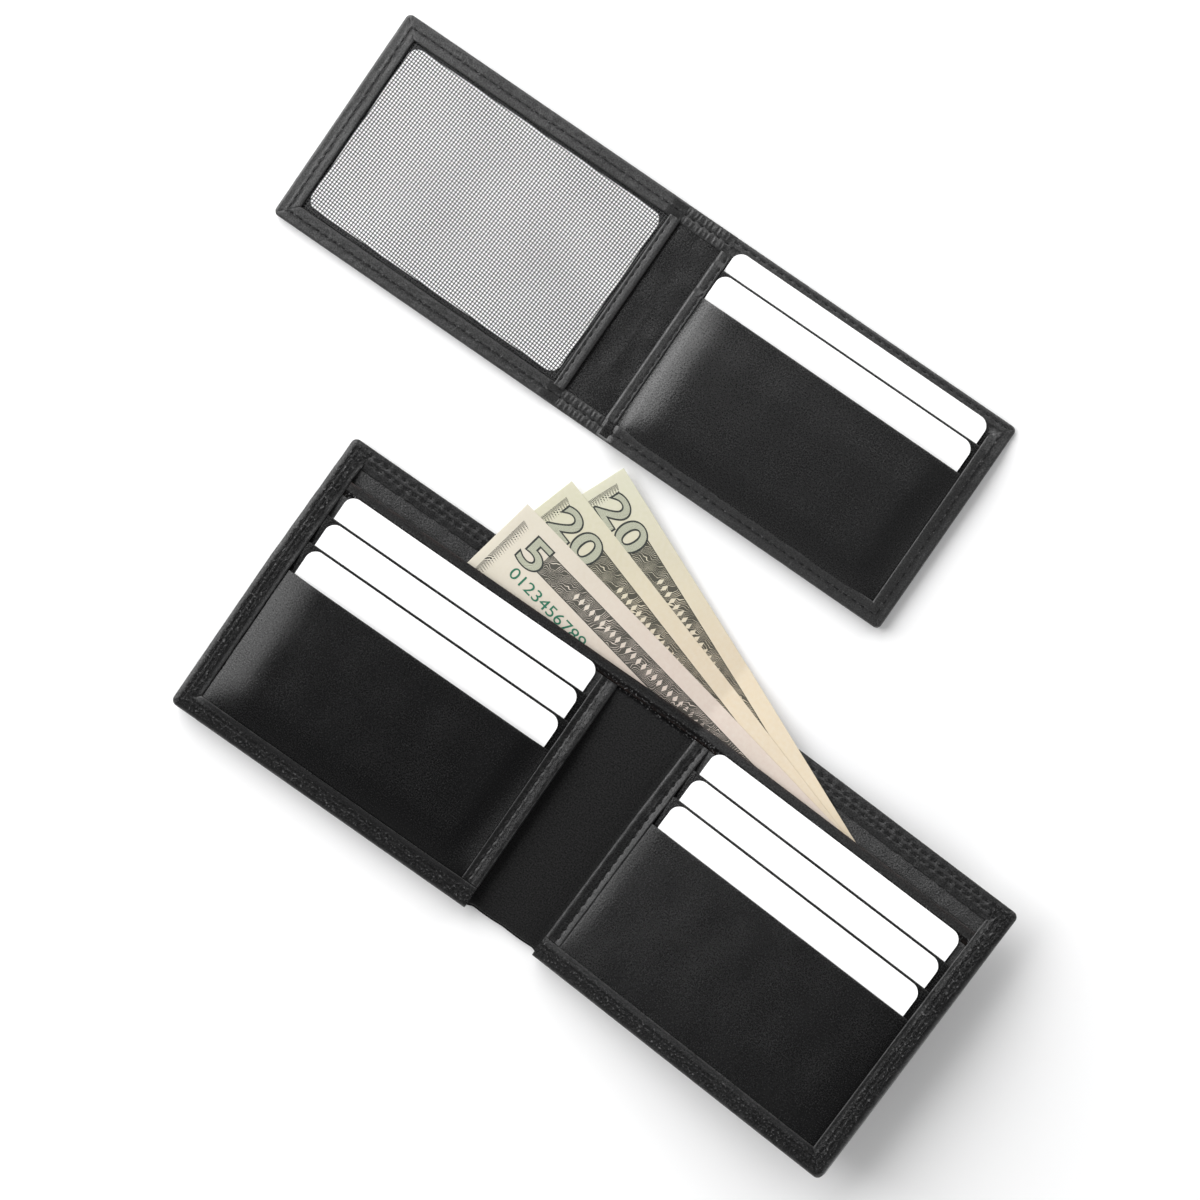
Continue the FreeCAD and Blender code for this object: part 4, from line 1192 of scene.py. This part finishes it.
PASS_NEAR_FOLD = 2.4
UNDER_CARDS = {"left": 0.0, "right": 0.1}
for side, (place, body, bend) in PASS.items():
    # The cards slide over the upper row beside the slots, which lies a little deeper.
    level = lambda s, v: PASS_EDGE_HEIGHTS[side](s, v) - UNDER_CARDS[side] * (v > 64)
    rows = [(run, level, lambda s, v: s < PASS_NEAR_FOLD) for run in pass_runs[side]]
    if side == "left":
        rows += [(run, mesh_hem_height, None) for run in mesh_hem_run]
    else:
        rows += [(run, pass_binding_height, None) for run in pass_binding_run]
    seams = sew(f"pass_stitching_{side}", place, rows, 95 + len(side))
    fasten(seams, [f"pass_stitching_{side}"], body)
    rows = [(run, top_of(gathers, PASS_THICK), None) for run in fold_rows]
    seams = sew(f"pass_stitching_fold_{side}", place, rows, 97 + len(side))
    fasten(seams, ["pass_edge_spine"], bend)

# ================================ table, light and camera
# A plain white table, one large soft light from the left and two weak ones from the other sides.
CAMERA_PLACE = (0.0804, 0.0855, 0.9376)
CAMERA_WAY = (-0.051, -0.041, -0.9979)
CAMERA_TURN = 34.67

table_white, tree, shader = new_material("table_white")
haze = noise(add(tree, "ShaderNodeTexCoord")[3], 3.0)
plug(shader, {
    "Base Color": mix_colour(haze, (0.86, 0.86, 0.865), (0.88, 0.88, 0.88)),
    "Roughness": 0.9,
    "Specular IOR Level": 0.1,
})
bpy.ops.mesh.primitive_plane_add(size=2.4, location=(0.06, 0.05, -0.0002))
table = bpy.context.object
table.name = "table"
table.data.materials.append(table_white)
table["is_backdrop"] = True

scene = bpy.context.scene
world = bpy.data.worlds.new("studio")
scene.world = world
world.use_nodes = True
tree = world.node_tree
upward = add(tree, "ShaderNodeSeparateXYZ", {0: add(tree, "ShaderNodeTexCoord")[0]})[2]
glow = spread(upward, 0.0, 0.9, 0.95, 0.03)
plug(tree.nodes["Background"], {0: (1, 1, 1, 1), 1: glow})


def soft_light(name, azimuth, height_angle, distance, size, power):
    """A square soft box that faces the object; azimuth is counted from +X towards +Y."""
    lamp = bpy.data.lights.new(name, "AREA")
    lamp.size, lamp.energy = size, power
    thing = bpy.data.objects.new(name, lamp)
    turn, rise = math.radians(azimuth), math.radians(height_angle)
    way = Vector((math.cos(turn) * math.cos(rise), math.sin(turn) * math.cos(rise), math.sin(rise)))
    target = Vector((0.06, 0.05, 0))
    thing.location = target + way * distance
    thing.rotation_euler = way.to_track_quat("Z", "Y").to_euler()
    scene.collection.objects.link(thing)


soft_light("key_light", 165, 33, 1.3, 1.8, 44)
soft_light("top_fill", 80, 28, 1.5, 0.9, 6)
soft_light("right_fill", -40, 26, 1.6, 1.0, 7)

lens = bpy.data.cameras.new("camera")
lens.lens = 100
lens.sensor_width = 36
camera = bpy.data.objects.new("camera", lens)
scene.collection.objects.link(camera)
back = -Vector(CAMERA_WAY).normalized()
turn = math.radians(CAMERA_TURN)
right = Vector((math.cos(turn), math.sin(turn), 0))
right = (right - right.dot(back) * back).normalized()
axes = Matrix((right, back.cross(right), back)).transposed()
camera.matrix_world = Matrix.Translation(CAMERA_PLACE) @ axes.to_4x4()
scene.camera = camera
scene.view_settings.view_transform = "Standard"

[[list(corner) for corner in box] for box in (cad_box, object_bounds())]
